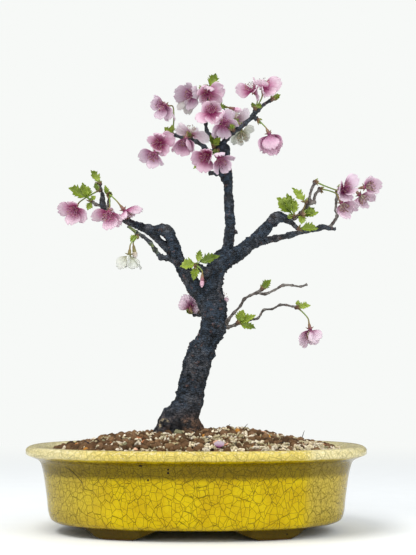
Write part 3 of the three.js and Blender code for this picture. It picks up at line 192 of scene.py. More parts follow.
# ---------- blossoms ----------
# at: centre; face: the way it looks; petals: clock angle seen from the front (0 up, 90 right),
# reach across the view, depth of the tip behind the centre, twist about its own length;
# hue: its colours; bend: how wide its stalk swings; roll: the petals whose rims roll over
BLOOMS = {
    "bloom_01": dict(at=(-29.4, 4, 380.4), face=(-0.55, -0.75, -0.1), hue="lilac",
        petals=[(272, 13, -3, -25), (207, 14.5, -2), (160, 15.5, -2, 15), (139, 17, 0, 55),
                (314, 13.5, 3, -55)]),
    "bloom_02": dict(at=(-3.7, 0, 388.8), face=(-0.6, -0.75, -0.1), hue="ash", roll=(2,),
        petals=[(273, 17.5, -3, -20), (328, 13, 1, -15), (80, 5.5, -13), (186, 15, -4), (228, 10, 6, 15)]),
    "bloom_03": dict(at=(-10.4, 14, 386.6), face=(-0.3, 0.2, -0.9), hue="grey",
        petals=[(213, 11, -3, 15), (170, 13, 0, 15), (285, 9, 5, -35), (140, 9, 7, -40), (235, 7, 9, 35)]),
    "bloom_04": dict(at=(9.8, -8, 387.9), face=(-0.2, -0.85, -0.45), hue="pink", roll=(2,),
        petals=[(70, 16.5, -3), (290, 8, -11, 15), (10, 7, -11), (122, 15, 3, 15), (212, 11, -3, -30)]),
    "bloom_05": dict(at=(13.3, -15, 369.6), face=(0, -0.88, 0.47), hue="pink", roll=(1,),
        petals=[(242, 16, -3, 5), (125, 14.5, -5, 5), (172, 13, -8, -25), (40, 9, -9, 40),
                (312, 10, -8, -30)]),
    "bloom_06": dict(at=(23.8, -7, 361.4), face=(0.25, -0.9, -0.1), hue="lilac",
        petals=[(104, 14.7, 1, 45), (38, 15, 3, 20), (175, 15, -3), (217, 15.9, 1, -45), (318, 11, 1, 35)]),
    "bloom_07": dict(at=(35.9, 15, 370), face=(0.6, 0.3, 0.7), hue="pale",
        petals=[(55, 15, 2), (88, 12, 5, -35), (130, 7, 9, -45), (10, 8, 9, -10)]),
    "bloom_08": dict(at=(40.9, 12, 356.5), face=(0.1, -0.5, -0.8), hue="white", bend=0.1,
        petals=[(190, 12, -1, -15), (226, 13, 2), (132, 10, -3, -25), (62, 13, 2), (255, 8, -6, 15)]),
    "bloom_09": dict(at=(50.5, -8, 391.7), face=(-0.45, -0.7, 0.5), hue="pink",
        petals=[(268, 16, -4, -30), (8, 9, -8, -15), (152, 11, -7, 70), (85, 5, -10, -10)]),
    "bloom_10": dict(at=(59.8, -15, 392.4), face=(0.1, -0.65, 0.75), hue="pink",
        petals=[(70, 17.5, -2, 30), (128, 13, -4, 20), (182, 8.7, -9, -70), (330, 5, -12, 15),
                (20, 6, 10, -30)]),
    "bloom_11": dict(at=(65.3, -10, 350.5), face=(0.38, -0.25, -0.88), hue="back", bend=0.15,
        petals=[(172, 15, -7, -50), (205, 18, -1, 20), (138, 16.5, -1, -5), (168, 19, 3, -10),
                (150, 15, 8, 30)]),
    "bloom_12": dict(at=(-34, -4, 343.5), face=(-0.15, -0.85, -0.4), hue="deep", roll=(0,),
        petals=[(8, 12, -6), (294, 12, -1, -25), (63, 16, 0), (143, 13, -3), (205, 8, -10)]),
    "bloom_13": dict(at=(-38.4, 10, 337.6), face=(-0.4, -0.6, -0.7), hue="lilac",
        petals=[(250, 16, 0), (190, 15, -1), (146, 13, 4, 35), (75, 8, 2)]),
    "bloom_14": dict(at=(-5.6, 18, 357), face=(0, 0.4, 0.9), hue="pale",
        petals=[(303, 15, -1, 5), (277, 15, 2, 5), (30, 8, 8, 15), (106, 18.5, 0, -10), (345, 7, 10, 20)]),
    "bloom_15": dict(at=(-9.7, 1, 348.5), face=(-0.15, -0.3, -0.95), hue="back",
        petals=[(233, 17, 1, -20), (201, 16.5, -5, 80), (145, 13.5, -1), (160, 11, -8, -15),
                (178, 12, 6, 25)]),
    "bloom_16": dict(at=(9.2, -11, 331.8), face=(-0.3, -0.8, -0.5), hue="deep",
        petals=[(248, 15.5, 0), (190, 17, -4), (350, 4, -11, 15), (140, 6, -11, -35), (280, 8, 4)]),
    "bloom_17": dict(at=(20.4, -14, 327.5), face=(0.2, -0.7, -0.7), hue="lilac", roll=(0,),
        petals=[(0, 7, -9), (84, 14.5, 2, 35), (144, 14.5, -3), (195, 14, -2, -30)]),
    "bloom_18": dict(at=(-109.9, 4, 286.3), face=(-0.3, -0.75, -0.6), hue="pink",
        petals=[(262, 16.5, 0), (196, 16.5, -2, 15), (141, 16, -1), (320, 6, -10), (170, 7, 10, -15)]),
    "bloom_19": dict(at=(-78.9, -3, 281.2), face=(-0.05, -0.7, -0.7), hue="pink",
        petals=[(250, 17, -1, -10), (175, 16.5, -3, 10), (138, 16.5, 2, 20), (50, 5, 5, -40),
                (200, 8, 10, -25)]),
    "bloom_20": dict(at=(-64.8, -1, 283), face=(0.6, 0.2, -0.75), hue="pink",
        petals=[(92, 17, -2, 10), (190, 9, -8), (120, 9, 8, 10), (75, 9, 7, -15)]),
    "bloom_21": dict(at=(-59.5, -16, 240.5), face=(-0.1, 0.2, -0.95), hue="white",
        petals=[(226, 14.8, 0, -35), (150, 12.4, -4, 35), (137, 15.5, 3), (190, 9, 9, -35),
                (185, 8, -9, -75)]),
    "bloom_22": dict(at=(-6, 17, 197), face=(-0.2, 0.75, 0.6), hue="soft",
        petals=[(290, 11.5, 0, 5), (330, 13, 2, -25), (10, 12.5, 6, 15), (122, 10, -1, 5), (60, 9, 5)]),
    "bloom_23": dict(at=(21, 24, 205), face=(0.2, 0.6, 0.75), hue="soft", bend=0.15,
        petals=[(95, 8.5, 2), (50, 5, 5), (140, 5, 6), (350, 6, 9, -25)]),
    "bloom_24": dict(at=(130.6, -16, 300.8), face=(0.2, -0.85, 0), hue="vivid",
        petals=[(53, 17.5, 0, 35), (165, 13.5, -5), (110, 12, -8, -35), (290, 4, -11), (218, 9, -8, -25)]),
    "bloom_25": dict(at=(130, -7, 288.7), face=(0.4, -0.3, -0.85), hue="soft",
        petals=[(161, 16, -2, -15), (108, 15.6, -3, -15), (135, 12, 7, 20), (195, 9, 4)]),
    "bloom_26": dict(at=(152.4, -2, 304.5), face=(0.85, -0.4, 0.1), hue="soft",
        petals=[(83, 15.5, 0, 45), (50, 12, 7, 10), (118, 12, -6, 35), (20, 9, -8, -30)]),
    "bloom_27": dict(at=(148.4, 7, 298), face=(0.6, -0.3, -0.7), hue="soft",
        petals=[(98, 14.5, 0, -10), (140, 13, 4, -50), (172, 12, -3, 20), (200, 9, 8, 10)]),
    "bloom_28": dict(at=(101.2, -4, 175.4), face=(0.15, -0.15, -0.97), hue="soft",
        petals=[(211, 17, -2, 40), (134, 12, -5, 60), (168, 13, -8, -45), (165, 13, 7, 25), (195, 13, 6)]),
}
# closed buds: from, to, how stout, and their colours at the base and the tip
BUDS = {
    "bud_01": ((33.9, 8, 378), (41.8, 8, 375.9), 1, "d890b6", "f6e4ec"),
    "bud_02": ((5, -17, 219.5), (4.8, -17, 212.8), 0.8, "b98798", "dcb2c4"),
    "bud_03": ((-55.2, -12, 245.6), (-54.2, -11, 238.4), 1, "b9a884", "eadfe0"),
}
# buds: where it sits on the wood; flowers: its stalks; leaves: base, tip, width
SPRAYS = {
    "spray_01": dict(buds=[(10.5, 3, 396.8)], flowers=["bloom_02", "bloom_04"],
        leaves=[((12.6, 4, 398), (17.5, 4, 410.4), 8), ((6.5, 3.5, 396.4), (1.1, 2, 392.6), 5)]),
    "spray_02": dict(buds=[(9.2, 4.4, 381)], flowers=["bloom_05", "bloom_03"],
        leaves=[((17, 4, 381), (28, 4, 378.5), 4.5)]),
    "spray_03": dict(buds=[(39.2, -2.7, 360.1)], flowers=["bloom_07", "bloom_08", "bud_01"],
        leaves=[((37, -2, 362), (32.5, -1, 368), 4)]),
    "spray_04": dict(buds=[(15.6, 0, 341.5)], flowers=[],
        leaves=[((15.4, -1, 343), (17, -2, 355.1), 5.5), ((16, -1, 343), (21.5, -5, 349.5), 5.5),
                ((14.6, -1, 343), (12.6, -2.5, 352.5), 4)]),
    "spray_05": dict(buds=[(-5.8, 9.4, 352.2)], flowers=["bloom_14", "bloom_15"], leaves=[]),
    "spray_06": dict(buds=[(19, -4.6, 337)], flowers=["bloom_16", "bloom_17"],
        leaves=[((10, -2, 331), (-3.5, -3, 321.5), 5)]),
    "spray_07": dict(buds=[(-22.2, 9.6, 355)], flowers=["bloom_12", "bloom_13", "bloom_01"],
        leaves=[((-24.5, 9, 355), (-29.4, 7, 361), 7), ((-22.6, 9, 357), (-22.6, 8, 363.6), 4)]),
    "spray_08": dict(buds=[(52.8, -8.8, 374.2)], flowers=["bloom_09", "bloom_10"],
        leaves=[((51.6, -9, 375), (49.6, -10, 380), 4), ((54.6, -9, 375), (58, -9, 379.4), 4)]),
    "spray_09": dict(buds=[(55.4, -8.2, 364.4)], flowers=["bloom_11"], leaves=[]),
    "spray_10": dict(buds=[(67.6, -10.2, 382.6)], flowers=[],
        leaves=[((68, -10, 382.6), (75.6, -10, 387.4), 4.5)]),
    "spray_11": dict(buds=[(-88.8, 11, 303.6)], flowers=["bloom_18"],
        leaves=[((-90.6, 10, 304), (-92.4, 9, 310.4), 4)]),
    "spray_12": dict(buds=[(-96, 11, 293.6)], flowers=[],
        leaves=[((-100.6, 9.5, 297), (-116.2, 6, 305.4), 10), ((-100, 10, 297.6), (-104.2, 10, 311), 6),
                ((-99, 10, 297.6), (-98.6, 12, 307.4), 5), ((-95, 9, 295), (-91.8, 8, 298), 4),
                ((-96.2, 9.6, 291.6), (-99.2, 8, 284.8), 5)]),
    "spray_13": dict(buds=[(-88.4, 12, 310)], flowers=[],
        leaves=[((-88.8, 12, 311), (-96.8, 12, 322.6), 6)]),
    "spray_14": dict(buds=[(-79.5, 7, 299.4)], flowers=["bloom_19", "bloom_20"],
        leaves=[((-81.4, 7.5, 299), (-83.2, 7, 308), 3.6)]),
    "spray_15": dict(buds=[(-52.6, -12.4, 259.6)], flowers=["bloom_21", "bud_03"],
        leaves=[((-54, -13.4, 258.6), (-58.6, -14.4, 253.8), 5)]),
    "spray_16": dict(buds=[(-0.5, -14.5, 232.8)], flowers=["bud_02"],
        leaves=[((-1.6, -14, 234.4), (-14.6, -19, 231), 8), ((3, -14.4, 235.4), (20.6, -19, 241.4), 7),
                ((1.4, -13.6, 236), (3.4, -13, 247), 5), ((-0.6, -14.4, 231), (-2.6, -17, 219), 6)]),
    "spray_17": dict(buds=[(57.8, -18.2, 211.3)], flowers=[],
        leaves=[((58.4, -18.4, 212), (65.6, -20, 219.6), 6)]),
    "spray_18": dict(buds=[(36.8, -9.6, 182.2)], flowers=[],
        leaves=[((37.2, -10.6, 183.4), (41.6, -12, 193.6), 7.5), ((38.4, -10.4, 183), (52.8, -13, 188.6), 6),
                ((38.4, -10.4, 181), (52.6, -12, 176.6), 6)]),
    "spray_19": dict(buds=[(89.4, -5, 195.8)], flowers=["bloom_28"],
        leaves=[((90.6, -5.4, 196.2), (101.4, -8, 198), 5), ((89.8, -5, 197.4), (90.6, -5, 202.4), 3.6)]),
    "spray_20": dict(buds=[(-3.4, 20.4, 192.7), (3, 14.6, 192.6)], flowers=["bloom_22", "bloom_23"],
        leaves=[((-5, 21, 191.4), (-9.8, 22, 195.6), 4)]),
    "spray_21": dict(buds=[(86, -14.4, 276.6), (93.4, -17, 278.2), (97.2, -18.6, 288.4)], flowers=[],
        leaves=[((83.6, -14.6, 279.4), (70.4, -17, 292.4), 12), ((83.4, -14.6, 281), (81.4, -15, 297.6), 8),
                ((86, -15, 279), (87.7, -15, 291), 6), ((85, -15, 276), (80, -15.4, 275.2), 4),
                ((95.2, -15, 277.4), (108.6, -17, 279.4), 6.5), ((96, -15, 278.4), (105, -15, 284.4), 5),
                ((93, -14.8, 277.4), (93.2, -15, 268.8), 6),
                ((95.4, -15.8, 289.6), (85.4, -18, 302.2), 6.5)]),
    "spray_22": dict(buds=[(91, -11.8, 265.4)], flowers=[],
        leaves=[((92.8, -13.4, 266), (108.1, -17, 265.6), 7)]),
    "spray_23": dict(buds=[(105.4, -18, 306.6)], flowers=["bloom_24"], leaves=[]),
    "spray_24": dict(buds=[(110.4, -10, 301.4)], flowers=["bloom_25"], leaves=[]),
    "spray_25": dict(buds=[(128.2, 11, 302.6)], flowers=["bloom_26", "bloom_27"],
        leaves=[((129, 9, 304), (131.4, 6, 309), 4)]),
    "spray_26": dict(buds=[(33, -6.6, 355.6)], flowers=["bloom_06"],
        leaves=[((32, -7, 357), (30.6, -8, 361), 4)]),
}
GREEN_CUPS = ("bloom_07", "bloom_08", "bloom_21", "bud_03")  # their cups have no red in them
FALLEN_PETAL = dict(x=19.3, y=-76, lift=0.4, face=(0, -0.55, 0.83), petal=(3, 5.3, 8))
HUES = {
    # throat, middle, rim, and how far out the throat's colour reaches
    "pink": ("bd4787", "e2abc9", "f7e9f0", 0.13),
    "deep": ("a93873", "d691b6", "f3dee9", 0.2),
    "lilac": ("b9568f", "dbb8cf", "f3e8ef", 0.11),
    "back": ("b06590", "dcaac8", "f4dfea", 0.1),
    "pale": ("d49ab6", "f8ecf2", "fffbfd", 0.05),
    "soft": ("b04a86", "ecd1e1", "faeff5", 0.09),
    "vivid": ("95246b", "edd2e3", "fbf1f7", 0.2),
    "ash": ("a8578a", "cfaec4", "e0d6dc", 0.1),
    "grey": ("b9a5a4", "d9d3d2", "e8e5e2", 0.08),
    "white": ("b9b98a", "e6e8dc", "f4f6f0", 0.06),
}
FILAMENTS = {True: ("d8cdb0", "f1efdf"), False: ("c25c92", "f0d3e2")}  # in pale flowers, and in others
ANTHERS = ("b48a5e", "966a5a", "c8a878", "86545f")
GREENS = ("728521", "83972e", "5d7117", "91a23c")
PETAL_WIDTH = 0.94  # of its length
PETAL_BOW = 0.09
CUP_BOW = 0.12
HUB_DEPTH = 1.3
CALYX_LENGTH = 5.5
STALK_BEND = 0.35
STAMENS = 26
GOLDEN_TURN = 2.39996  # radians between one stamen or scale and the next
# half widths from base to tip, as shares of the length and of the greatest half width
PETAL_OUTLINE = ([0, 0.08, 0.2, 0.35, 0.5, 0.64, 0.78, 0.9, 1],
                 [0.12, 0.2, 0.47, 0.77, 0.94, 1, 0.96, 0.83, 0.62])
LEAF_OUTLINE = ([0, 0.08, 0.2, 0.36, 0.5, 0.66, 0.8, 0.92, 1],
                [0.1, 0.4, 0.76, 1, 0.98, 0.8, 0.5, 0.2, 0.02])
# round parts: distance along and radius there
HUB = [(-1.5, 0.9), (-1.1, 1.5), (-0.4, 1.75), (0.2, 1.7)]
ANTHER = [(-0.3, 0.22), (0.2, 0.36), (0.75, 0.2)]
CALYX = [(CALYX_LENGTH, 0.72), (4.6, 1.25), (2.4, 1.5), (0.9, 1.75), (0, 1.9)]
BUD_BASE = [(-2.1, 1.3), (-0.9, 1.9), (0, 1.7), (0.9, 0.9)]
BUD_OUTLINE = [(0, 1.2), (0.3, 2.3), (0.65, 2.05), (1, 0.7)]  # as shares of its length

BACKDROP = "f7f9f7"
SKY = (0.93, 0.96, 1.0, 1)


# ---------- numbers ----------
def vec(p):
    return np.array(p[:3], dtype=float)


def unit(v):
    return v / max(np.linalg.norm(v), 1e-9)


def lerp(a, b, share):
    return a + (b - a) * share


def step_up(low, high, x):
    """0 below low, 1 above high, smooth between."""
    t = np.clip((x - low) / (high - low), 0, 1)
    return t * t * (3 - 2 * t)


def circle(sides):
    """The angles of points spread evenly round a circle."""
    return np.arange(sides) * 2 * math.pi / sides


def run_along(points):
    """How far along a line each of its points lies."""
    return np.r_[0, np.cumsum(np.linalg.norm(np.diff(points, axis=0), axis=1))]


def srgb(code):
    """Linear colour of a hex code."""
    parts = [int(code[i:i + 2], 16) / 255 for i in (0, 2, 4)]
    return np.array([c / 12.92 if c <= 0.04045 else ((c + 0.055) / 1.055) ** 2.4 for c in parts])


def fade(start, end, reach=None):
    """A tint that runs from one colour to the next along a rod, over a reach or its whole length."""
    return lambda run: lerp(srgb(start), srgb(end), np.clip(run / (reach or run.max()), 0, 1))


def lattice(x, y, z, seed):
    """A fixed random number from 0 to 1 for each whole place."""
    h = (x * 374761393 + y * 668265263 + z * 1440662683 + seed * 2654435) & 0xFFFFFFFF
    h = ((h ^ (h >> 13)) * 1274126177) & 0xFFFFFFFF
    return ((h ^ (h >> 16)) & 0xFFFF) / 65535.0


def noise3(p, seed):
    """Smooth noise from -1 to 1 at points p."""
    cell = np.floor(p).astype(np.int64)
    f = p - cell
    f = f * f * (3 - 2 * f)
    total = np.zeros(len(p))
    for corner in np.ndindex(2, 2, 2):
        weight = np.prod(np.where(corner, f, 1 - f), axis=1)
        total += weight * lattice(*(cell + corner).T, seed)
    return total * 2 - 1


# ---------- meshes ----------
def link(obj):
    bpy.context.scene.collection.objects.link(obj)
    return obj


def new_object(name, points, faces):
    """An object in the scene, from points in the lists' millimetres."""
    mesh = bpy.data.meshes.new(name)
    mesh.from_pydata(((points + (ORIGIN_X, 0, 0)) * MM).tolist(), [], faces)
    return link(bpy.data.objects.new(name, mesh))


def finish_piece(obj, material, replaces=()):
    obj.data.materials.append(material)
    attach(obj, "root")
    if replaces:
        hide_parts(*replaces)


def read(items, key, wide, kind=float):
    """One property of all of a mesh's points or corners, as an array."""
    flat = np.empty(len(items) * wide, dtype=kind)
    items.foreach_get(key, flat)
    return flat.reshape(-1, wide)


def set_span(mesh, uv):
    mesh.uv_layers.new(name="span").data.foreach_set("uv", uv.ravel())


def set_tint(mesh, tint):
    mesh.color_attributes.new("tint", "FLOAT_COLOR", "POINT").data.foreach_set("color", tint.ravel())


def apply_all(obj):
    """Works the object's modifiers into its mesh."""
    depsgraph = bpy.context.evaluated_depsgraph_get()
    mesh = bpy.data.meshes.new_from_object(obj.evaluated_get(depsgraph))
    obj.modifiers.clear()
    obj.data = mesh


class Shape:
    """Points, faces, tints and UVs gathered for one piece."""

    def __init__(self):
        self.points, self.faces, self.tints, self.uvs = [], [], [], []
        self.count = 0

    def add(self, points, faces, tint=(1, 1, 1), uv=(0, 0)):
        self.points.append(points)
        self.faces += [tuple(i + self.count for i in face) for face in faces]
        self.tints.append(np.broadcast_to(tint, points.shape))
        self.uvs.append(np.broadcast_to(uv, (len(points), 2)))
        self.count += len(points)

    def rod(self, points, sides, step, tint, relief=None, span=None):
        """A tube, tinted by a colour or a fade; span is its UV length where veins show on it."""
        ring, faces, uv = tube(points, sides, step, relief)
        tint = tint(uv[:, 1:]) if callable(tint) else tint
        self.add(ring, faces, tint, uv * (1, span / uv[:, 1].max()) if span else uv)

    def blade(self, foot, axes, length, rows, half, tint, shade):
        """A thin petal or leaf: rows hold its share of the length, its width across and its lift."""
        run, normal, side = axes
        t, q, ahead, across, lift = rows
        grid = foot + run * (ahead * length)[..., None] + side * across[..., None]
        points, faces = slab(grid + normal * (lift * length)[..., None], half)
        uv = np.stack([q * 0.5 + 0.5, t], axis=2).reshape(-1, 2)
        self.add(points, faces, np.vstack([tint, tint * shade]), np.vstack([uv, uv]))

    def build(self, name, material, slot, replaces=()):
        obj = new_object(name, np.concatenate(self.points), self.faces)
        mesh = obj.data
        mesh.polygons.foreach_set("use_smooth", [True] * len(self.faces))
        set_tint(mesh, np.insert(np.concatenate(self.tints), 3, 1, axis=1))
        set_span(mesh, np.concatenate(self.uvs)[read(mesh.loops, "vertex_index", 1, np.int32)[:, 0]])
        mesh.update()
        finish_piece(obj, material, replaces)


def ring_faces(rings, sides):
    """The faces between rings of points that follow one another."""
    faces = []
    for i in range(rings - 1):
        for j in range(sides):
            a, b = i * sides + j, i * sides + (j + 1) % sides
            faces.append((a, b, b + sides, a + sides))
    return faces


def slab(grid, half):
    """A sheet of points (rows, cols, 3) given two faces and a rim."""
    rows, cols, _ = grid.shape
    normal = np.cross(np.gradient(grid, axis=1), np.gradient(grid, axis=0))
    normal /= np.maximum(np.linalg.norm(normal, axis=2, keepdims=True), 1e-9)
    size = rows * cols
    points = np.concatenate([(grid + normal * half).reshape(-1, 3), (grid - normal * half).reshape(-1, 3)])
    starts = [i * cols + j for i in range(rows - 1) for j in range(cols - 1)]
    front = [(a + cols, a + cols + 1, a + 1, a) for a in starts]
    back = [(a, a + 1, a + cols + 1, a + cols) for a in (start + size for start in starts)]
    ring = [*range(cols), *range(2 * cols - 1, size, cols)]
    ring += [*range(size - 2, size - cols - 1, -1), *range(size - 2 * cols, 0, -cols)]
    rim = [(a, b, b + size, a + size) for a, b in zip(ring, ring[1:] + ring[:1])]
    return points, front + back + rim


def curve(points, step):
    """Centripetal curve through (x, y, z, r): places, directions, radii and lengths along it."""
    p = np.array([q[:3] for q in points], dtype=float)
    r = [q[3] for q in points]
    ends = np.vstack([2 * p[0] - p[1], p, 2 * p[-1] - p[-2]])
    places, radii = [], []
    for i in range(len(p) - 1):
        a, b, c, d = ends[i:i + 4]
        gaps = [max(np.linalg.norm(v) ** 0.5, 1e-4) for v in (b - a, c - b, d - c)]
        t1 = ((b - a) / gaps[0] - (c - a) / (gaps[0] + gaps[1]) + (c - b) / gaps[1]) * gaps[1]
        t2 = ((c - b) / gaps[1] - (d - b) / (gaps[1] + gaps[2]) + (d - c) / gaps[2]) * gaps[1]
        count = max(2, int(np.linalg.norm(c - b) / step))
        for k in range(count + (i == len(p) - 2)):
            t = k / count
            places.append(b + t1 * t + (3 * (c - b) - 2 * t1 - t2) * t * t + (2 * (b - c) + t1 + t2) * t ** 3)
            radii.append(r[i] + (r[i + 1] - r[i]) * t * t * (3 - 2 * t))
    places = np.array(places)
    along = np.gradient(places, axis=0)
    along /= np.linalg.norm(along, axis=1, keepdims=True)
    return places, along, np.array(radii), run_along(places)


def frames_along(along):
    """Two directions across a curve at each of its points."""
    sides = []
    side = np.array([1, 0.2, 0.1])
    for direction in along:
        side = unit(side - direction * (side @ direction))
        sides.append(side)
    return np.array(sides), np.cross(along, sides)


def tube(points, sides, step, relief=None):
    """Rings along a curve with a point at either end: points, faces, and turn and length as UV."""
    places, along, radii, lengths = curve(points, step)
    side, across = frames_along(along)
    turn = circle(sides)
    out = side[:, None] * np.cos(turn)[None, :, None] + across[:, None] * np.sin(turn)[None, :, None]
    radius = np.repeat(radii[:, None], sides, axis=1)
    if relief:
        radius = radius * relief(places, lengths, turn)
    rings = (places[:, None] + out * radius[:, :, None]).reshape(-1, 3)
    faces = ring_faces(len(places), sides)
    end, last = len(rings), len(rings) - sides
    for j in range(sides):
        k = (j + 1) % sides
        faces += [(end, k, j), (end + 1, last + j, last + k)]
    tips = [places[0] - along[0] * radii[0] * 0.4, places[-1] + along[-1] * radii[-1] * 0.4]
    uv = np.stack(np.broadcast_arrays(turn[None, :] / (2 * math.pi), lengths[:, None]), axis=2)
    return np.vstack([rings, tips]), faces, np.vstack([uv.reshape(-1, 2), [0, 0], [0, lengths[-1]]])


def spindle(centre, way, profile):
    """Points for a rod about a centre, from distances along its way and radii there."""
    return [(*(centre + way * distance), radius) for distance, radius in profile]


# ---------- materials ----------
class Nodes:
    """Short words for building nodes; a hex code stands for its colour."""

    def __init__(self, owner):
        owner.use_nodes = True
        self.owner, self.tree = owner, owner.node_tree
        self.tree.nodes.clear()

    def new(self, kind, inputs=(), **settings):
        node = self.tree.nodes.new(kind)
        for key, value in settings.items():
            setattr(node, key, value)
        for key, value in dict(inputs).items():
            self.put(node.inputs[key], value)
        return node

    def put(self, socket, value):
        if isinstance(value, str):
            socket.default_value = (*srgb(value), 1)
        elif isinstance(value, (bpy.types.Node, bpy.types.NodeSocket)):
            self.tree.links.new(getattr(value, "outputs", [value])[0], socket)
        elif value is not None:
            socket.default_value = value

    def math(self, operation, *values):
        return self.new("ShaderNodeMath", enumerate(values), operation=operation)

    def times(self, a, b):
        return self.math("MULTIPLY", a, b)

    def ramp(self, value, low, high, out_low=0.0, out_high=1.0):
        return self.new("ShaderNodeMapRange", {0: value, 1: low, 2: high, 3: out_low, 4: out_high},
                        interpolation_type="SMOOTHSTEP")

    def mix(self, share, a, b, blend="MIX"):
        node = self.new("ShaderNodeMix", {0: share, 6: a, 7: b}, data_type="RGBA", blend_type=blend)
        return node.outputs[2]

    def paint(self, base, *coats):
        """Coats laid over a base, each a share and a colour."""
        for share, colour in coats:
            base = self.mix(share, base, colour)
        return base

    def noise(self, where, scale, detail=3.0, rough=0.5, output="Fac"):
        inputs = {"Vector": where, "Scale": scale, "Detail": detail, "Roughness": rough}
        return self.new("ShaderNodeTexNoise", inputs).outputs[output]

    def voronoi(self, where, scale, feature="DISTANCE_TO_EDGE", flat=False, output="Distance"):
        node = self.new("ShaderNodeTexVoronoi", feature=feature, voronoi_dimensions="2D" if flat else "3D")
        self.put(node.inputs["Vector"], where)
        self.put(node.inputs["Scale"], scale)
        return node.outputs[output]

    def place(self):
        return self.new("ShaderNodeTexCoord").outputs["Object"]

    def span(self):
        return self.new("ShaderNodeUVMap", uv_map="span").outputs[0]

    def tint(self, output="Color"):
        return self.new("ShaderNodeAttribute", attribute_name="tint").outputs[output]

    def xyz(self, vector):
        return self.new("ShaderNodeSeparateXYZ", {0: vector}).outputs

    def length(self, vector):
        return self.new("ShaderNodeVectorMath", {0: vector}, operation="LENGTH").outputs["Value"]

    def stretch(self, where, scale):
        return self.new("ShaderNodeMapping", {"Vector": where, "Scale": scale}).outputs[0]

    def shift(self, where, by, amount):
        values = {0: by, 1: (amount, amount, 0.0), 2: where}
        return self.new("ShaderNodeVectorMath", values, operation="MULTIPLY_ADD")

    def bump(self, height, depth, normal=None):
        return self.new("ShaderNodeBump", {"Height": height, "Distance": depth, "Normal": normal}).outputs[0]

    def surface(self, colour, rough, bump=None, **values):
        links = {"Base Color": colour, "Roughness": rough, "Normal": bump}
        node = self.new("ShaderNodeBsdfPrincipled", links)
        for key, value in values.items():
            node.inputs[key.replace("_", " ")].default_value = value
        return node.outputs[0]

    def close(self, shader, kind="ShaderNodeOutputMaterial"):
        self.new(kind, {"Surface": shader})
        return self.owner


def new_nodes(name):
    return Nodes(bpy.data.materials.new(name))


def glaze_material():
    """Crackled glaze: saturated on the front, with a pale straw reflection painted at the ends, pale on the
    lip, and olive shade painted under it.
    """
    n = new_nodes("crackle_glaze")
    place = n.place()
    x, y, z = n.xyz(place)
    height = n.math("ADD", z, n.times(n.noise(place, 90.0, 2.0), 0.0016))
    lip = n.ramp(height, 0.0668, 0.0682)
    mottle = n.noise(place, 45.0, 4.0, 0.6)
    side = n.math("SUBTRACT", x, ORIGIN_X * MM)
    # the pot's ends: denser cracks there, and a pale reflection painted on them
    ends = n.math("MAXIMUM", n.ramp(side, 0.086, 0.1), n.ramp(side, -0.06, -0.125))
    cove = n.ramp(height, 0.0492, 0.0545)
    cracks = glaze_cracks(n, n.math("MAXIMUM", ends, cove))
    low = n.times(n.ramp(height, 0.028, 0.013), ends)
    # painted shade under the lip: a dark olive band in the cove beneath it
    under = n.times(cove, n.ramp(height, 0.0668, 0.0650))
    # painted highlight: near-white streaks along the top of the lip
    crest_highlight = n.times(n.ramp(z, 0.0713, 0.0732), n.ramp(n.noise(place, 260.0, 3.0), 0.5, 0.62))
    # painted glints: small pale specks on the lip
    glint_specks = n.ramp(n.voronoi(place, 420.0, feature="F1"), 0.12, 0.2, 0.6, 0.0)
    bare = n.ramp(n.math("ADD", z, n.times(n.noise(place, 300.0, 3.0), 0.0012)), 0.0011, 0.0019, 1.0, 0.0)
    base = n.paint(
        n.mix(n.ramp(mottle, 0.3, 0.7), "b89900", "cab000"),
        # painted reflection: the ends turn paler straw
        (n.times(ends, 0.7), "b5a145"),
        (n.times(low, 0.45), "8f7a18"),
        # painted shade under the lip, weaker at the ends
        (n.times(under, n.ramp(ends, 0.0, 1.0, 0.8, 0.66)), "574500"),
        # the lip is pale, and paler still at the ends, where the painted reflection lies too
        (n.times(lip, 0.72), n.mix(ends, "d6c472", "e6dcae")),
        # painted shade: the foot is darkened to deep brown-olive
        (n.times(n.ramp(height, 0.0115, 0.0085), 0.9), "2e1c00"),
        (n.times(cracks, n.ramp(lip, 0.0, 1.0, 0.8, 0.5)), "463a00"))
    for pit_x, pit_z, wide, tall, dark in PITS:
        away = n.new("ShaderNodeCombineXYZ", {
            0: n.math("DIVIDE", n.math("SUBTRACT", x, (pit_x + ORIGIN_X) * MM), wide * MM),
            1: n.math("DIVIDE", n.math("SUBTRACT", z, pit_z * MM), tall * MM),
            2: n.times(n.ramp(y, -0.03, 0.0), 9.0)})  # none on the back
        base = n.mix(n.ramp(n.length(away), 0.9, 1.35, dark, 0.0), base, "140f04")
    # painted highlight on the lip's crest and painted glints on the lip, then the bare clay at the very
    # bottom
    base = n.paint(base, (n.times(crest_highlight, 0.22), "fdf9e2"), (n.times(glint_specks, lip), "fbf6d8"), (bare, "5c4326"))
    relief = n.bump(n.noise(n.stretch(place, (1, 1, 0.6)), 26.0, 2.0), 0.0011)
    relief = n.bump(n.math("SUBTRACT", n.noise(place, 140.0, 3.0), n.times(cracks, 0.6)), 0.00018, relief)
    rough = n.math("ADD", n.ramp(mottle, 0.2, 0.8, 0.1, 0.2), n.times(bare, 0.6))
    gloss = {"Specular_IOR_Level": 0.12, "Coat_Weight": 0.05, "Coat_Roughness": 0.06}
    return n.close(n.surface(base, rough, relief, **gloss))


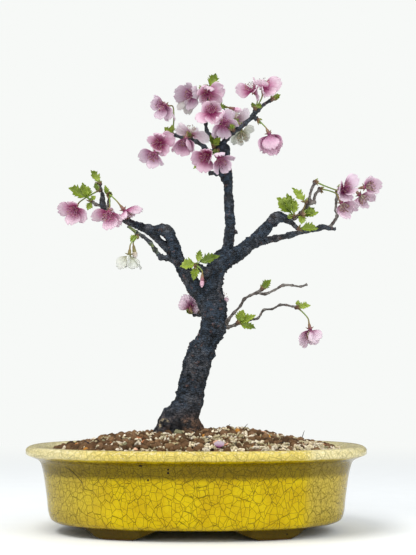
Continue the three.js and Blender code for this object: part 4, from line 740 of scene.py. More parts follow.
def glaze_cracks(n, dense):
    """Cracks in four generations: each finer one ends on the coarser, as they form in a glaze."""
    span = n.span()
    where = n.shift(span, n.noise(span, 20.0, 3.0, output="Color"), 0.017)
    wide = n.noise(span, 24.0, 1.0)
    where = n.stretch(where, (1.45, 0.72, 1))
    patch = n.ramp(n.noise(span, 3.4, 2.0), 0.44, 0.6)
    shares = (1.0, 0.95, n.math("MAXIMUM", n.ramp(patch, 0.0, 1.0, 0.25, 0.9), dense), n.times(dense, 0.8))
    cracks = 0.0
    for (scale, thin, thick), share in zip(CRACKS, shares):
        edge = n.voronoi(where, scale, flat=True)
        inner = n.ramp(wide, 0.35, 0.65, thin * 0.4, thin)
        outer = n.ramp(wide, 0.35, 0.65, thick * 0.7, thick)
        cracks = n.math("MAXIMUM", cracks, n.times(n.ramp(edge, inner, outer, 1.0, 0.0), share))
        # each cell goes on with cracks of its own
        where = n.shift(where, n.voronoi(where, scale, feature="F1", flat=True, output="Color"), 9.0)
        if scale == CRACKS[0][0]:
            where = n.stretch(where, (0.75, 1.5, 1))
    return cracks


def bark_material():
    """Blue-black ridged bark, brown and flaked low down; the mesh's tint marks say where what shows."""
    n = new_nodes("cherry_bark")
    place = n.place()
    lenticel, moss, young = n.new("ShaderNodeSeparateColor", {0: n.tint()}).outputs
    at = n.xyz(place)
    coarse = n.noise(place, 230.0, 5.0, 0.62)
    fine = n.noise(n.stretch(place, (1, 1, 2.6)), 800.0, 4.0, 0.6)
    plates = n.voronoi(n.stretch(place, (0.8, 0.8, 2.0)), 300.0)
    worn = n.times(n.ramp(n.noise(place, 42.0, 2.0), 0.48, 0.62), n.ramp(coarse, 0.44, 0.62))
    foot = n.ramp(n.math("ADD", at[2], n.times(coarse, 0.02)), 0.104, 0.12, 1.0, 0.0)
    foot = n.times(foot, n.ramp(at[0], (ORIGIN_X - 17) * MM, (ORIGIN_X - 9) * MM, 0.3, 1.0))
    scar_highlight = n.math("SUBTRACT", 1.0, n.tint("Alpha"))
    x, z, reach = (length * MM for length in HOLLOW)
    hollow = n.new("ShaderNodeCombineXYZ", {0: n.math("SUBTRACT", at[0], x + ORIGIN_X * MM),
                                            1: n.math("SUBTRACT", at[2], z)})
    hollow = n.math("ADD", n.length(hollow), n.times(coarse, reach * 0.6))
    base = n.paint(
        n.mix(n.ramp(coarse, 0.36, 0.64), "060f19", "2f3f50"),
        (n.times(worn, 0.6), "5b534f"),
        (foot, n.mix(n.ramp(coarse, 0.44, 0.6), "1a1413", "6f5038")),
        (n.times(n.ramp(fine, 0.54, 0.72), 0.3), "56646f"),
        (n.times(n.ramp(plates, 0.0, 0.08, 1.0, 0.0), 0.55), "0c0b10"),
        (young, n.mix(n.ramp(coarse, 0.4, 0.62), "554c47", "8d857d")),
        (n.times(lenticel, 0.62), "7d5a50"),
        (n.times(moss, n.ramp(coarse, 0.42, 0.56)), n.mix(n.ramp(fine, 0.4, 0.65), "4f5a2a", "8f9c66")),
        # painted highlight on the old cut's upper-left rim
        (n.times(scar_highlight, n.ramp(coarse, 0.38, 0.56)), "b3a384"),
        # painted shade: the hollow beside the old cut is darkened to near-black
        (n.ramp(hollow, reach * 0.8, reach * 1.6, 0.9, 0.0), "060a10"))
    grain = n.bump(coarse, 0.0011)
    grain = n.bump(n.ramp(plates, 0.0, 0.16), 0.0007, grain)
    grain = n.bump(fine, 0.00035, grain)
    return n.close(n.surface(base, n.ramp(coarse, 0.3, 0.7, 0.55, 0.82), grain, Specular_IOR_Level=0.42))


def petal_material(name, vein_tone, vein_share):
    """Tinted by the mesh, with veins that spread from a petal's claw to its rim; light comes through."""
    n = new_nodes(name)
    across, along, _ = n.xyz(n.span())
    place = n.place()
    tint = n.tint()
    wobble = n.times(n.noise(place, 600.0, 2.0), 0.16)
    lines = n.math("ABSOLUTE", n.math("SINE", n.times(n.math("ADD", across, wobble), 46.0)))
    vein = n.times(n.ramp(lines, 0.0, 0.55, 1.0, 0.0), n.ramp(along, 0.05, 0.95, 0.9, 0.25))
    mottle = n.noise(place, 420.0, 3.0)
    colour = n.mix(n.times(vein, vein_share), tint, n.mix(1.0, tint, vein_tone, "MULTIPLY"))
    colour = n.mix(n.ramp(mottle, 0.35, 0.7, 0.0, 0.22), colour, n.mix(1.0, colour, "efe0ea", "MULTIPLY"))
    relief = n.bump(n.math("SUBTRACT", n.times(mottle, 0.5), n.times(vein, 0.5)), 0.00028)
    skin = n.surface(colour, 0.5, relief, Specular_IOR_Level=0.35, Sheen_Weight=0.15, Sheen_Roughness=0.4)
    through = n.new("ShaderNodeBsdfTranslucent", {"Color": colour, "Normal": relief})
    return n.close(n.new("ShaderNodeMixShader", {0: 0.5, 1: skin, 2: through}))


def tinted_material(name, rough, grain, depth, spread=0.25):
    """A plain surface coloured by the mesh, with its own grain."""
    n = new_nodes(name)
    tint = n.tint()
    mottle = n.noise(n.place(), grain, 4.0, 0.6)
    colour = n.mix(n.ramp(mottle, 0.3, 0.7), n.mix(spread, tint, "241a14"), tint)
    return n.close(n.surface(colour, rough, n.bump(mottle, depth)))


def grain_material():
    """Baked clay and pumice: pitted, dusty, with paler worn edges."""
    n = new_nodes("grit")
    place = n.place()
    tint = n.tint()
    coarse = n.noise(place, 420.0, 4.0, 0.65)
    pores = n.voronoi(place, 900.0, feature="F1")
    colour = n.paint(
        n.mix(n.ramp(coarse, 0.3, 0.7), n.mix(0.3, tint, "3a261a"), tint),
        (n.ramp(pores, 0.1, 0.3, 0.35, 0.0), "2a1c14"),
        (n.ramp(coarse, 0.62, 0.8, 0.0, 0.3), "e0d4be"))
    relief = n.bump(pores, 0.0005, n.bump(coarse, 0.0009))
    return n.close(n.surface(colour, 0.92, relief, Specular_IOR_Level=0.2))


def bed_material():
    n = new_nodes("bed_with_gap_shade")
    place = n.place()
    # the soil's own dark brown, made darker still as painted shade in the gaps between the grains
    colour = n.mix(n.ramp(n.noise(place, 300.0, 4.0, 0.6), 0.35, 0.65), "1c110b", "422a1d")
    lumps = n.bump(n.voronoi(place, 260.0, feature="F1"), 0.0015)
    return n.close(n.surface(colour, 0.95, lumps, Specular_IOR_Level=0.2))


def floor_material():
    """A pale matt floor that fades into the backdrop far from the object."""
    n = new_nodes("pale_floor")
    place = n.place()
    matt = n.surface(n.mix(n.noise(place, 30.0, 2.0), "eff1f0", "f4f6f5"), 0.75)
    glow = n.new("ShaderNodeEmission", {"Color": BACKDROP, "Strength": 1.0})
    return n.close(n.new("ShaderNodeMixShader", {0: n.ramp(n.length(place), 0.35, 1.5), 1: matt, 2: glow}))


# ---------- pot ----------
def oval_measure(x, y, half):
    """Below 1 inside the oval of this family with that half length."""
    return (np.abs(x) / half) ** OVAL_POWER + (np.abs(y) / (half - OVAL_NARROWING)) ** OVAL_POWER


def oval(half, z, sides):
    turn = circle(sides)
    c, s = np.cos(turn), np.sin(turn)
    x = half * np.sign(c) * np.abs(c) ** (2 / OVAL_POWER)
    y = (half - OVAL_NARROWING) * np.sign(s) * np.abs(s) ** (2 / OVAL_POWER)
    return np.stack([x, y, np.full(sides, float(z))], axis=1)


def even_oval(half, z, sides=POT_SIDES):
    """The same oval with its points spread evenly."""
    dense = oval(half, z, OVAL_STEPS)
    dense = np.vstack([dense, dense[:1]])
    run = run_along(dense)
    at = np.arange(sides) / sides * run[-1]
    return np.stack([np.interp(at, run, dense[:, k]) for k in range(3)], axis=1)


def closed_loft(name, rings):
    """A closed solid through rings of points."""
    sides = len(rings[0])
    last = (len(rings) - 1) * sides
    ends = [tuple(range(sides))[::-1], tuple(range(last, last + sides))]
    obj = new_object(name, np.concatenate(rings), ring_faces(len(rings), sides) + ends)
    work = bmesh.new()
    work.from_mesh(obj.data)
    bmesh.ops.recalc_face_normals(work, faces=work.faces)
    work.to_mesh(obj.data)
    work.free()
    return obj


def cut(obj, tools, operation="DIFFERENCE"):
    for tool in tools:
        modifier = obj.modifiers.new("cut", "BOOLEAN")
        modifier.operation, modifier.object, modifier.solver = operation, tool, "EXACT"
        apply_all(obj)
        bpy.data.objects.remove(tool)


def arch(profile, along):
    """A prism through the foot ring, along X or Y."""
    outline = [(profile[0][0], -1), *profile, *[(-w, z) for w, z in profile[::-1]], (-profile[0][0], -1)]
    place = (lambda w, z, far: (w, far, z)) if along == "y" else (lambda w, z, far: (far, w, z))
    ends = [np.array([place(w, z, far) for w, z in outline], float) for far in (-200, 200)]
    return closed_loft("arch", ends)


def drain(x):
    turn = circle(64)
    ring = np.stack([x + DRAIN_RADIUS * np.cos(turn), DRAIN_RADIUS * np.sin(turn), turn * 0], axis=1)
    return closed_loft("drain", [ring + (0, 0, z) for z in (7.0, 18.0)])


def wall_profile():
    """The pot's outside as a smooth run of (half length, height)."""
    places = curve([(a, 0, z, 0) for a, z in POT_OUTSIDE], 1.6)[0]
    return np.minimum(places[:, [0, 2]], (LIP_HALF_LENGTH, np.inf))


def half_length_at(x, y):
    """Half length of the oval of this family that passes through a point."""
    low, high = np.full(len(x), OVAL_NARROWING + 0.5), np.full(len(x), 400.0)
    for _ in range(40):
        mid = (low + high) / 2
        inside = oval_measure(x, y, mid) < 1
        high, low = np.where(inside, mid, high), np.where(inside, low, mid)
    return (low + high) / 2


def read_points(mesh):
    return read(mesh.vertices, "co", 3) / MM - (ORIGIN_X, 0, 0)


def glaze_span(mesh, profile):
    """UVs in tenths of a metre: the way round the oval, and the way up its outside."""
    points = read_points(mesh)
    ring = oval(SPAN_OVAL, 0, OVAL_STEPS)
    run = run_along(np.vstack([ring, ring[:1]]))

    def clock(p):
        # counted from the back, so that the seam is out of sight
        stretched = p[:, 1] * SPAN_OVAL / (SPAN_OVAL - OVAL_NARROWING)
        return (np.arctan2(stretched, p[:, 0]) - math.pi / 2) % (2 * math.pi)
    order = np.argsort(clock(ring))
    travelled = (run[order] - run[order[0]]) % run[-1]
    u = np.interp(clock(points), clock(ring)[order], travelled, left=0, right=run[-1])
    half = half_length_at(points[:, 0], points[:, 1])
    away = (half[:, None] - profile[None, :, 0]) ** 2 + (points[:, 2, None] - profile[None, :, 1]) ** 2
    near = np.argmin(away, axis=1)
    # exact height between the profile's points
    rest = (points[:, 2] - profile[near, 1]) * (np.abs(half - profile[near, 0]) < FOOT_STEP)
    v = run_along(profile)[near] + rest
    corners = read(mesh.loops, "vertex_index", 1, np.int32)[:, 0]
    u = u[corners]
    for polygon in mesh.polygons:
        span = slice(polygon.loop_start, polygon.loop_start + polygon.loop_total)
        if u[span].max() - u[span].min() > run[-1] / 2:
            u[span] = np.where(u[span] < run[-1] / 2, u[span] + run[-1], u[span])
    set_span(mesh, np.stack([u, v[corners]], axis=1) / 100)


def make_pot():
    profile = wall_profile()
    pot = closed_loft("pot_body", [even_oval(a, z) for a, z in [*profile, *POT_INSIDE]])
    foot = closed_loft("foot", [even_oval(FOOT_LENGTH + out, z) for out, z in FOOT_EDGE])
    well = closed_loft("well", [even_oval(FOOT_LENGTH - FOOT_WALL, z) for z in (-1, FOOT_HEIGHT)])
    cut(foot, [well, arch(FOOT_FRONT_GAP, "y"), arch(FOOT_SIDE_GAP, "x")])
    cut(pot, [foot], "UNION")
    cut(pot, [drain(-DRAIN_X), drain(DRAIN_X)])
    glaze_span(pot.data, profile)
    for polygon in pot.data.polygons:
        # the undersides and the floor stay flat
        polygon.use_smooth = abs(polygon.normal.z) < 0.97 or polygon.center.z > 0.06
    finish_piece(pot, glaze_material(), ["pot"])


def make_fibre():
    """A stray plant fibre that clings to the left of the wall."""
    shape = Shape()
    points = []
    for share in np.linspace(0, 1, 9):
        x = lerp(-108.4, -92.6, share)
        z = 59.8 - 13.4 * share + 1.4 * math.sin(math.pi * share)
        half = float(np.interp(z, *zip(*[(height, a) for a, height in POT_OUTSIDE[3:6]])))
        y = -(half - OVAL_NARROWING) * (1 - (abs(x) / half) ** OVAL_POWER) ** (1 / OVAL_POWER) - 0.35
        points.append((x, y, z, 0.22 if 0 < share < 1 else 0.12))
    shape.rod(points, 6, 1.0, srgb("3c3218"))
    shape.build("stray_fibre", tinted_material("fibre", 0.6, 2000.0, 0.0001), "bark")


def make_screens():
    """A mesh of crossed wires over each drain hole."""
    for side, name in ((-1, "drain_screen_left"), (1, "drain_screen_right")):
        shape = Shape()
        rows = np.linspace(0.5 - SCREEN_SIZE / 2, SCREEN_SIZE / 2 - 0.5, 11)
        for k, lengthwise in np.ndindex(len(rows), 2):
            at, points = rows[k], []
            for step, way in enumerate(rows):
                weave = 0.22 * (-1) ** (step + k + lengthwise)
                x, y = (way, at) if lengthwise else (at, way)
                points.append((side * DRAIN_X + x, y, SCREEN_HEIGHT + weave, SCREEN_WIRE))
            shape.rod(points, 6, 1.3, srgb("33373a"))
        shape.build(f"{name}_mesh", tinted_material(f"{name}_net", 0.5, 800.0, 0.0001), "screen", [name])


# ---------- soil ----------
def soil_height(x, y):
    out = oval_measure(x, y, SOIL_RIM) ** (1 / OVAL_POWER)
    at, reach_x, reach_y, high = SOIL_HUMP
    hump = high * np.exp(-(((x - at) / reach_x) ** 2) - (y / reach_y) ** 2)
    return SOIL_EDGE + SOIL_CROWN * (1 - out ** 2.2) + hump


def pebbles(draw, count):
    """Angular lumps of 42 points, each cut by a few planes."""
    work = bmesh.new()
    bmesh.ops.create_icosphere(work, subdivisions=2, radius=1)
    ways = np.array([v.co for v in work.verts])
    faces = [tuple(v.index for v in f.verts) for f in work.faces]
    work.free()
    lumps = []
    for _ in range(count):
        planes = draw.normal(size=(9, 3))
        planes /= np.linalg.norm(planes, axis=1, keepdims=True)
        reach = draw.uniform(0.68, 1.0, 9)
        lean = ways @ planes.T
        cuts = np.where(lean > 0.05, reach / np.maximum(lean, 0.05), 9)
        lumps.append(ways * np.minimum(cuts.min(axis=1), 1.08)[:, None])
    return lumps, faces


def turned(draw):
    """A random rotation."""
    q, r = np.linalg.qr(draw.normal(size=(3, 3)))
    return q * np.sign(np.diag(r))


def under_wood(x, y):
    """Where the trunk's foot and its front root leave no room for grains."""
    return math.hypot(x + 16.5, y - 4) < 19 or (abs(x + 28) < 7 and abs(y + 11) < 5)


def grain_places(draw):
    """x, y, z and size of every grain: one bed layer and loose ones on top."""
    places = []
    for layer, share in ((0, 1.0), (1, 0.5)):
        for i in range(-32, 33):
            for j in range(-26, 27):
                x = (i + 0.5 * (j % 2)) * GRAIN_GAP + draw.uniform(-1.5, 1.5)
                y = j * GRAIN_GAP * 0.87 + draw.uniform(-1.5, 1.5)
                size = float(np.clip(draw.normal(5.3, 1.1), 3.2, 8.0)) / 2
                outside = oval_measure(x, y, SOIL_RIM + 0.1) > (1 - size / 95) ** OVAL_POWER
                if draw.uniform() > share or outside or under_wood(x, y):
                    continue
                lift = -2.3 if layer == 0 else draw.uniform(-0.9, -0.1)
                if math.hypot(x - FALLEN_PETAL["x"], y - FALLEN_PETAL["y"] + 3) < 7.5:
                    lift -= 1.4
                places.append((x, y, float(soil_height(x, y)) + lift + draw.uniform(-0.5, 0.5), size))
    return places


def make_bed():
    """Dark soil between the grains, darkened further as painted shade in the gaps, filling the pot to just
    under them.
    """
    rings = [even_oval(a, z, 96) for a, z in ((117.3, 16.3), (121.7, 19.2), (SOIL_RIM, 66.0))]
    for share in (0.97, 0.9, 0.8, 0.68, 0.55, 0.42, 0.28, 0.14):
        ring = rings[2] * share
        ring[:, 2] = soil_height(ring[:, 0], ring[:, 1]) - BED_DROP
        rings.append(ring)
    finish_piece(closed_loft("soil_bed", rings), bed_material(), ["soil"])


def make_grit():
    draw = np.random.default_rng(23)
    lumps, faces = pebbles(draw, 24)
    shapes = {name: Shape() for name in ("clay_left", "clay_right", "pumice", "odd")}
    for x, y, z, size in grain_places(draw):
        pale = 0.2 + 0.3 * step_up(-60, 70, x) + 0.08 * step_up(0, -70, y)
        chance = draw.uniform()
        kind = "odd" if chance < 0.05 else "pumice" if chance < 0.05 + pale else "clay"
        tint = srgb(GRAINS[kind][draw.integers(6)]) * draw.uniform(0.78, 1.12)
        name = f"clay_{'left' if x < 0 else 'right'}" if kind == "clay" else kind
        if kind != "pumice":
            lump = (lumps[draw.integers(24)] * size * draw.uniform(0.9, 1.22, 3)) @ turned(draw).T
            shapes[name].add(lump + (x, y, z), faces, tint)
            continue
        # pumice lies in flat slivers, two where one lump of clay would be
        for way in (-1, 1):
            sliver = np.array([2.5, 1.55, 1.1]) * draw.uniform(0.75, 1.15)
            shift = np.array([way * 1.3, draw.uniform(-1.2, 1.2), 0.6 + draw.uniform(-0.5, 0.5)])
            lump = (lumps[draw.integers(24)] * sliver) @ turned(draw).T
            shapes[name].add(lump + (x, y, z) + shift, faces, tint * draw.uniform(0.85, 1.1))
    material = grain_material()
    for name, shape in shapes.items():
        shape.build(f"grit_{name}", material, "grit")
    shape = Shape()
    for foot, tip in NEEDLES:
        middle = lerp(vec(foot), vec(tip), 0.5)
        shape.rod([(*foot, 0.42), (*middle, 0.36), (*tip, 0.2)], 6, 1.0, srgb("2e2620"))
    shape.build("dead_needles", tinted_material("dead_needle", 0.8, 900.0, 0.0002), "grit")


# ---------- wood ----------
def bark_swell(along, angle):
    return (0.05 * np.sin(3 * angle + 0.13 * along) + 0.035 * np.sin(5 * angle - 0.31 * along)
            + 0.035 * np.sin(0.9 * along + 2 * np.sin(angle)))


def lenticels(across, along, seed):
    """Raised bars laid round the limb: 1 at the middle of each, 0 away from them."""
    wide, tall = 6.5, 4.2
    best = np.zeros(len(across))
    for di, dj in np.ndindex(3, 3):
        i = np.floor(across / wide).astype(np.int64) + di - 1
        j = np.floor(along / tall).astype(np.int64) + dj - 1
        there, x, y, reach = (lattice(i, j, k, seed) for k in range(4))
        away = (across - (i + 0.2 + 0.6 * x) * wide) / (1.1 + 1.3 * reach)
        off = (along - (j + 0.2 + 0.6 * y) * tall) / 0.75
        best = np.maximum(best, np.where(there > 0.74, np.exp(-away ** 2 - off ** 2), 0))
    return best


def knobs(points, seed):
    """Small warts and bud scars set at random over the bark: 1 at the top of each."""
    cell = 8.0
    best = np.zeros(len(points))
    home = np.floor(points / cell).astype(np.int64)
    for step in np.ndindex(3, 3, 3):
        at = home + step - 1
        there, x, y, z, reach = (lattice(*at.T, seed + k) for k in range(5))
        away = np.linalg.norm(points - (at + np.stack([x, y, z], axis=1)) * cell, axis=1)
        away = away / (1.2 + 1.3 * reach)
        best = np.maximum(best, np.where(there > 0.5, np.exp(-away ** 2), 0))
    return best


def moss_at(points):
    mask = np.zeros(len(points))
    for x, y, z, reach in MOSS:
        away = np.linalg.norm(points - (x, y, z), axis=1)
        mask = np.maximum(mask, np.exp(-((away / reach) ** 2)))
    return np.clip(mask * 1.5, 0, 1)


def make_wood():
    """Trunk, roots and limbs melted into one skin, then given their bark."""
    raw = Shape()
    spine = []
    for number, points in enumerate([TRUNK, *ROOTS, *LIMBS, CALLUS]):
        raw.add(*tube(points, 28, 1.8, lambda places, along, turn: 1 + bark_swell(along[:, None], turn))[:2])
        places, along, radii, lengths = curve(points, 1.0)
        spine += zip(places, *frames_along(along), radii, lengths, [number] * len(places))
    wood = new_object("tree_wood", np.concatenate(raw.points), raw.faces)
    remesh = wood.modifiers.new("melt", "REMESH")
    remesh.mode, remesh.voxel_size, remesh.use_smooth_shade = "VOXEL", 0.00078, True
    smooth = wood.modifiers.new("settle", "SMOOTH")
    smooth.factor, smooth.iterations = 0.5, 6
    apply_all(wood)
    shape_bark(wood.data, spine)
    finish_piece(wood, bark_material(), ["tree"])


def nearest_spine(points, spine):
    """The knot of the limb whose skin is closest to each point, not the one whose middle is."""
    tree = KDTree(len(spine))
    for k, knot in enumerate(spine):
        tree.insert(knot[0], k)
    tree.balance()
    return [min(tree.find_n(p, 12), key=lambda found: abs(found[2] - spine[found[1]][3]))[1] for p in points]


def spot_on_front(points, x, z, reach):
    return np.exp(-((points[:, 0] - x) ** 2 + (points[:, 2] - z) ** 2) / reach ** 2)


def shape_bark(mesh, spine):
    """Pushes the skin in and out along its normals, and marks what the bark's material shows where."""
    points = read_points(mesh)
    normals = read(mesh.vertex_normals, "vector", 3)
    picked = nearest_spine(points, spine)
    centre, side, across, radius, length, number = (
        np.array([spine[k][i] for k in picked], float) for i in range(6))
    away = points - centre
    angle = np.arctan2((away * across).sum(axis=1), (away * side).sum(axis=1))
    round_trip = np.stack([np.cos(angle) * radius, np.sin(angle) * radius], axis=1)
    banded = np.c_[round_trip * 0.13, (length + 37 * number) * 0.62]
    bands = noise3(banded, 3) * 0.6 + noise3(banded * 2.1, 4) * 0.4
    lumps = noise3(points / 5.5, 5) * 0.65 + noise3(points / 2.4, 6) * 0.35
    fine = noise3(points / 1.15, 7)
    spots = lenticels(angle * radius, length + 11 * number, 8)
    size = np.clip(radius / 9, 0.3, 1.0)
    # ridges that run round the limb, as cherry bark peels
    ridges = noise3(np.c_[round_trip * 0.1, (length + 19 * number) * 1.15], 15)
    push = (size ** 0.8 * (0.5 * bands + 0.7 * lumps + 0.85 * ridges)
            + size ** 0.5 * (0.4 * fine + 0.6 * spots))
    push += (0.5 + 0.6 * size) * knobs(points, 21)
    # thinner limbs swell at their old nodes
    push += 0.75 * step_up(8.5, 5.5, radius) * noise3(np.c_[length * 0, length * 0.3, number * 5.3], 18)
    # the foot is smoother, with long folds
    push *= 1 - 0.5 * step_up(128, 108, points[:, 2])
    creases = noise3(np.c_[round_trip * 0.22, points[:, 2] * 0.05], 9)
    push += 0.9 * step_up(112, 84, points[:, 2]) * creases
    points = points + normals * push[:, None]
    # thin limbs are younger and greyer
    young = np.clip(0.2 * step_up(5.0, 2.2, radius) + 0.12 * (bands + lumps), 0, 1)
    for x, z, reach in KNOTS:
        knot = spot_on_front(points, x, z, reach)
        points = points + normals * (knot * (0.4 + 1.5 * noise3(points / 2.3, 17)))[:, None]
        young = np.maximum(young, 0.3 * knot)
    for x, z, reach, height in FLANK:
        points = points + normals * (height * spot_on_front(points, x, z, reach))[:, None]
    # a painted highlight: the old cut keeps a pale edge on its upper left, only where the light falls
    cut_way = points - vec(CALLUS[-1])
    rim = np.linalg.norm(cut_way, axis=1)
    lit = step_up(-0.3, 0.6, (cut_way[:, 2] - 0.7 * cut_way[:, 0]) / np.maximum(rim, 0.1))
    scar_highlight = step_up(2.4, 3.4, rim) * step_up(6.4, 4.6, rim) * lit
    set_tint(mesh, np.c_[spots * step_up(0.25, 0.6, spots), moss_at(points), young, 1 - scar_highlight])
    mesh.vertices.foreach_set("co", ((points + (ORIGIN_X, 0, 0)) * MM).ravel())
    mesh.update()


def twig_relief(number, points):
    """Bands, swollen joints at the twig's points, and a rough skin."""
    def relief(places, lengths, turn):
        bands = noise3(np.c_[np.repeat(number * 7.3, len(lengths)), lengths * 0.75, lengths * 0], 12)
        away = np.linalg.norm(places[:, None] - np.array([p[:3] for p in points]), axis=2).min(axis=1)
        ring = 0.93 + 0.15 * bands + 0.4 * np.exp(-((away - 0.3) / 0.9) ** 2)
        grid = np.stack(np.broadcast_arrays(np.cos(turn) * 1.4, np.sin(turn) * 1.4,
                                            lengths[:, None] * 0.7 + number * 9), axis=2)
        rough = noise3(grid.reshape(-1, 3), 13).reshape(len(lengths), len(turn))
        return ring[:, None] * (1 + 0.13 * rough)
    return relief


def make_twigs():
    shape = Shape()
    for number, points in enumerate(TWIGS):
        ring, faces, uv = tube(points, 12, 0.7, twig_relief(number, points))
        young = 0.8 if number in YOUNG_TWIGS else 0.12
        spots = lenticels(uv[:, 0] * 9, uv[:, 1] + 5 * number, 14)
        marks = np.c_[spots * 0.6, moss_at(ring), np.full(len(ring), young)]
        shape.add(ring, faces, marks, uv)
    shape.build("tree_twigs", bpy.data.materials["cherry_bark"], "bark", ["tree"])


# ---------- petals, leaves and stalks ----------
def axes_of(along, face, twist=0):
    """The ways ahead, up and across of a blade, turned about its own length by a twist."""
    run = unit(along)
    normal = unit(face - run * (face @ run))
    a = math.radians(twist)
    normal = normal * math.cos(a) + np.cross(run, normal) * math.sin(a)
    return run, normal, np.cross(run, normal)


def sheet(rows, cols):
    """Shares along a blade and, from -1 to 1, across it."""
    return np.meshgrid(np.linspace(0, 1, rows), np.linspace(-1, 1, cols), indexing="ij")


def spokes(face, lean=(0.3, 0.2, 1)):
    """Gives the direction at any angle round a face."""
    up = unit(np.cross(face, lean))
    over = np.cross(face, up)
    return lambda turn: up * math.cos(turn) + over * math.sin(turn)


def add_petal(shape, centre, face, petal, hue, draw, rolled=False, raised=0.0):
    """One petal, cupped and ruffled, from its claw at the centre to its notched rim."""
    clock, reach, depth, twist = (*petal, 0)[:4]
    a = math.radians(clock)
    along = np.array([reach * math.sin(a), depth, reach * math.cos(a)])
    run, normal, side = axes_of(along, face, twist)
    if side @ np.cross(face, run) < 0:
        side = -side
    length = np.linalg.norm(along)
    t, q = sheet(17, 15)
    wide = np.interp(t, *PETAL_OUTLINE)
    notch = 0.12 * np.exp(-((q / 0.17) ** 2)) * t ** 8
    cup = max(0.0, run @ face)
    phase = draw.uniform(0, 6.3, 3)
    ahead = (t * (1 - 0.15 * np.abs(q) ** 2.3 * t ** 2) - notch
             + 0.012 * np.sin(17 * q + 3 * phase[1]) * t ** 8)
    ruffle = np.sin(9 * q + phase[2]) + 0.5 * np.sin(19 * q + phase[0])
    lift = (-(PETAL_BOW + CUP_BOW * cup) * np.sin(math.pi * t ** 0.85) * (1 - 0.45 * q ** 2)
            + 0.022 * np.sin(2.6 * math.pi * q + phase[0]) * t ** 1.5
            + 0.03 * np.sin(5.5 * t + phase[1]) * q ** 2 * np.sign(q)
            + draw.uniform(-0.05, 0.08) * t ** 3 + 0.044 * ruffle * t ** 6)
    if rolled:
        over = np.clip((t - 0.62) / 0.38, 0, 1)
        ahead = ahead - 0.24 * over ** 2
        lift = lift + 0.3 * over ** 1.6
    across = q * wide * (PETAL_WIDTH * length / 2) * (1 + 0.03 * np.sin(7 * t + phase[1]))
    throat, middle, rim, reach = HUES[hue]
    streak = 0.5 + 0.5 * np.cos(q * 11 + draw.uniform(0, 6))
    inner = step_up(reach, reach + 0.3 + 0.2 * streak, t)[..., None]
    outer = step_up(0.34, 0.86, t + 0.2 * q ** 2)[..., None]
    tint = lerp(lerp(srgb(throat), srgb(middle), inner), srgb(rim), outer * 0.92) * draw.uniform(0.94, 1.05)
    shape.blade(centre + face * raised, (run, normal, side), length, (t, q, ahead, across, lift), 0.15,
                tint.reshape(-1, 3), 0.97 if cup < 0.3 else 0.92)


def add_leaf_blade(shape, foot, tip, width, face, draw, tints, toothed=True, fold=0.42):
    """A leaf, or with a smooth edge a sepal or bud scale, folded along its middle."""
    length = np.linalg.norm(tip - foot)
    t, q = sheet(34 if toothed else 8, 9)
    wide = np.interp(t, *LEAF_OUTLINE)
    ahead = t
    if toothed:
        # coarse teeth that point forward, unlike on the two sides, on a lobed outline
        edge = np.abs(q) ** 2.5
        for way in (-1, 1):
            here = (np.sign(q) == way) * edge
            lobes = 0.16 * np.sin(t * draw.uniform(9, 14) + draw.uniform(0, 6.3)) * t
            teeth = (t * draw.uniform(4.8, 6.4) + draw.uniform(0, 1)) % 1.0
            wide = wide * (1 + here * (lobes + 0.62 * (teeth - 0.5)))
            ahead = ahead + here * 0.09 * teeth * (1 - t)
    phase = draw.uniform(0, 6.3, 2)
    lift = fold * np.abs(q) ** 1.2 * wide * width / length - 0.1 * np.sin(math.pi * t)
    if toothed:
        lift = lift + 0.05 * np.sin(17 * t + 3 * q + phase[1]) * np.abs(q)
    lift = lift + 0.03 * np.sin(9 * t + phase[0]) * np.abs(q) + draw.uniform(-0.16, 0.1) * t ** 2
    blend = step_up(0.1, 1.0, t)[..., None]
    rows = (t, q, ahead, q * wide * width / 2, lift)
    shape.blade(foot, axes_of(tip - foot, face), length, rows, 0.14,
                lerp(tints[0], tints[1], blend).reshape(-1, 3), 0.93)


def add_stamens(shape, centre, face, hue, draw):
    """A tuft of filaments, each with its anther."""
    out_at = spokes(face)
    stalk = FILAMENTS[hue in ("white", "grey", "pale", "soft")]
    for k in range(STAMENS):
        out = out_at(k * GOLDEN_TURN + draw.uniform(-0.2, 0.2))
        spread = 0.1 + 0.62 * math.sqrt((k + 0.5) / STAMENS) * draw.uniform(0.85, 1.15)
        length = draw.uniform(5.6, 8.6)
        way = unit(face + out * spread)
        foot = centre + out * (0.3 + 0.9 * spread) - face * 0.4
        tip = foot + way * length
        middle = lerp(foot, tip, 0.5) + out * 0.5
        shape.rod([(*foot, 0.17), (*middle, 0.13), (*tip, 0.1)], 4, 1.6, fade(*stalk, length))
        shape.rod(spindle(tip, way, ANTHER), 5, 0.5, srgb(ANTHERS[draw.integers(4)]))


def make_blooms():
    petal = petal_material("petal", "c878a4", 0.8)
    white = petal_material("white_petal", "c3c8b4", 0.6)
    for number, (name, bloom) in enumerate(BLOOMS.items()):
        draw = np.random.default_rng(100 + number)
        shape = Shape()
        centre, face, hue = vec(bloom["at"]), unit(vec(bloom["face"])), bloom["hue"]
        for k, one in enumerate(bloom["petals"]):
            add_petal(shape, centre, face, one, hue, draw, k in bloom.get("roll", ()), 0.35 * (k % 2))
        # the small cup that the petals and stamens stand in
        shape.rod(spindle(centre, face, HUB), 14, 0.4, srgb(HUES[hue][0]), span=0.034)
        add_stamens(shape, centre, face, hue, draw)
        skin = white if hue in ("white", "grey") else petal  # the stamens share it
        shape.build(f"{name}_flower", skin, "petal", [name])
    shape = Shape()
    x, y, lift = (FALLEN_PETAL[key] for key in ("x", "y", "lift"))
    at = np.array([x, y, float(soil_height(x, y)) + lift + 0.5])
    face = unit(vec(FALLEN_PETAL["face"]))
    add_petal(shape, at, face, FALLEN_PETAL["petal"], "ash", np.random.default_rng(7))
    shape.build("fallen_petal_blade", petal, "petal", ["fallen_petal"])


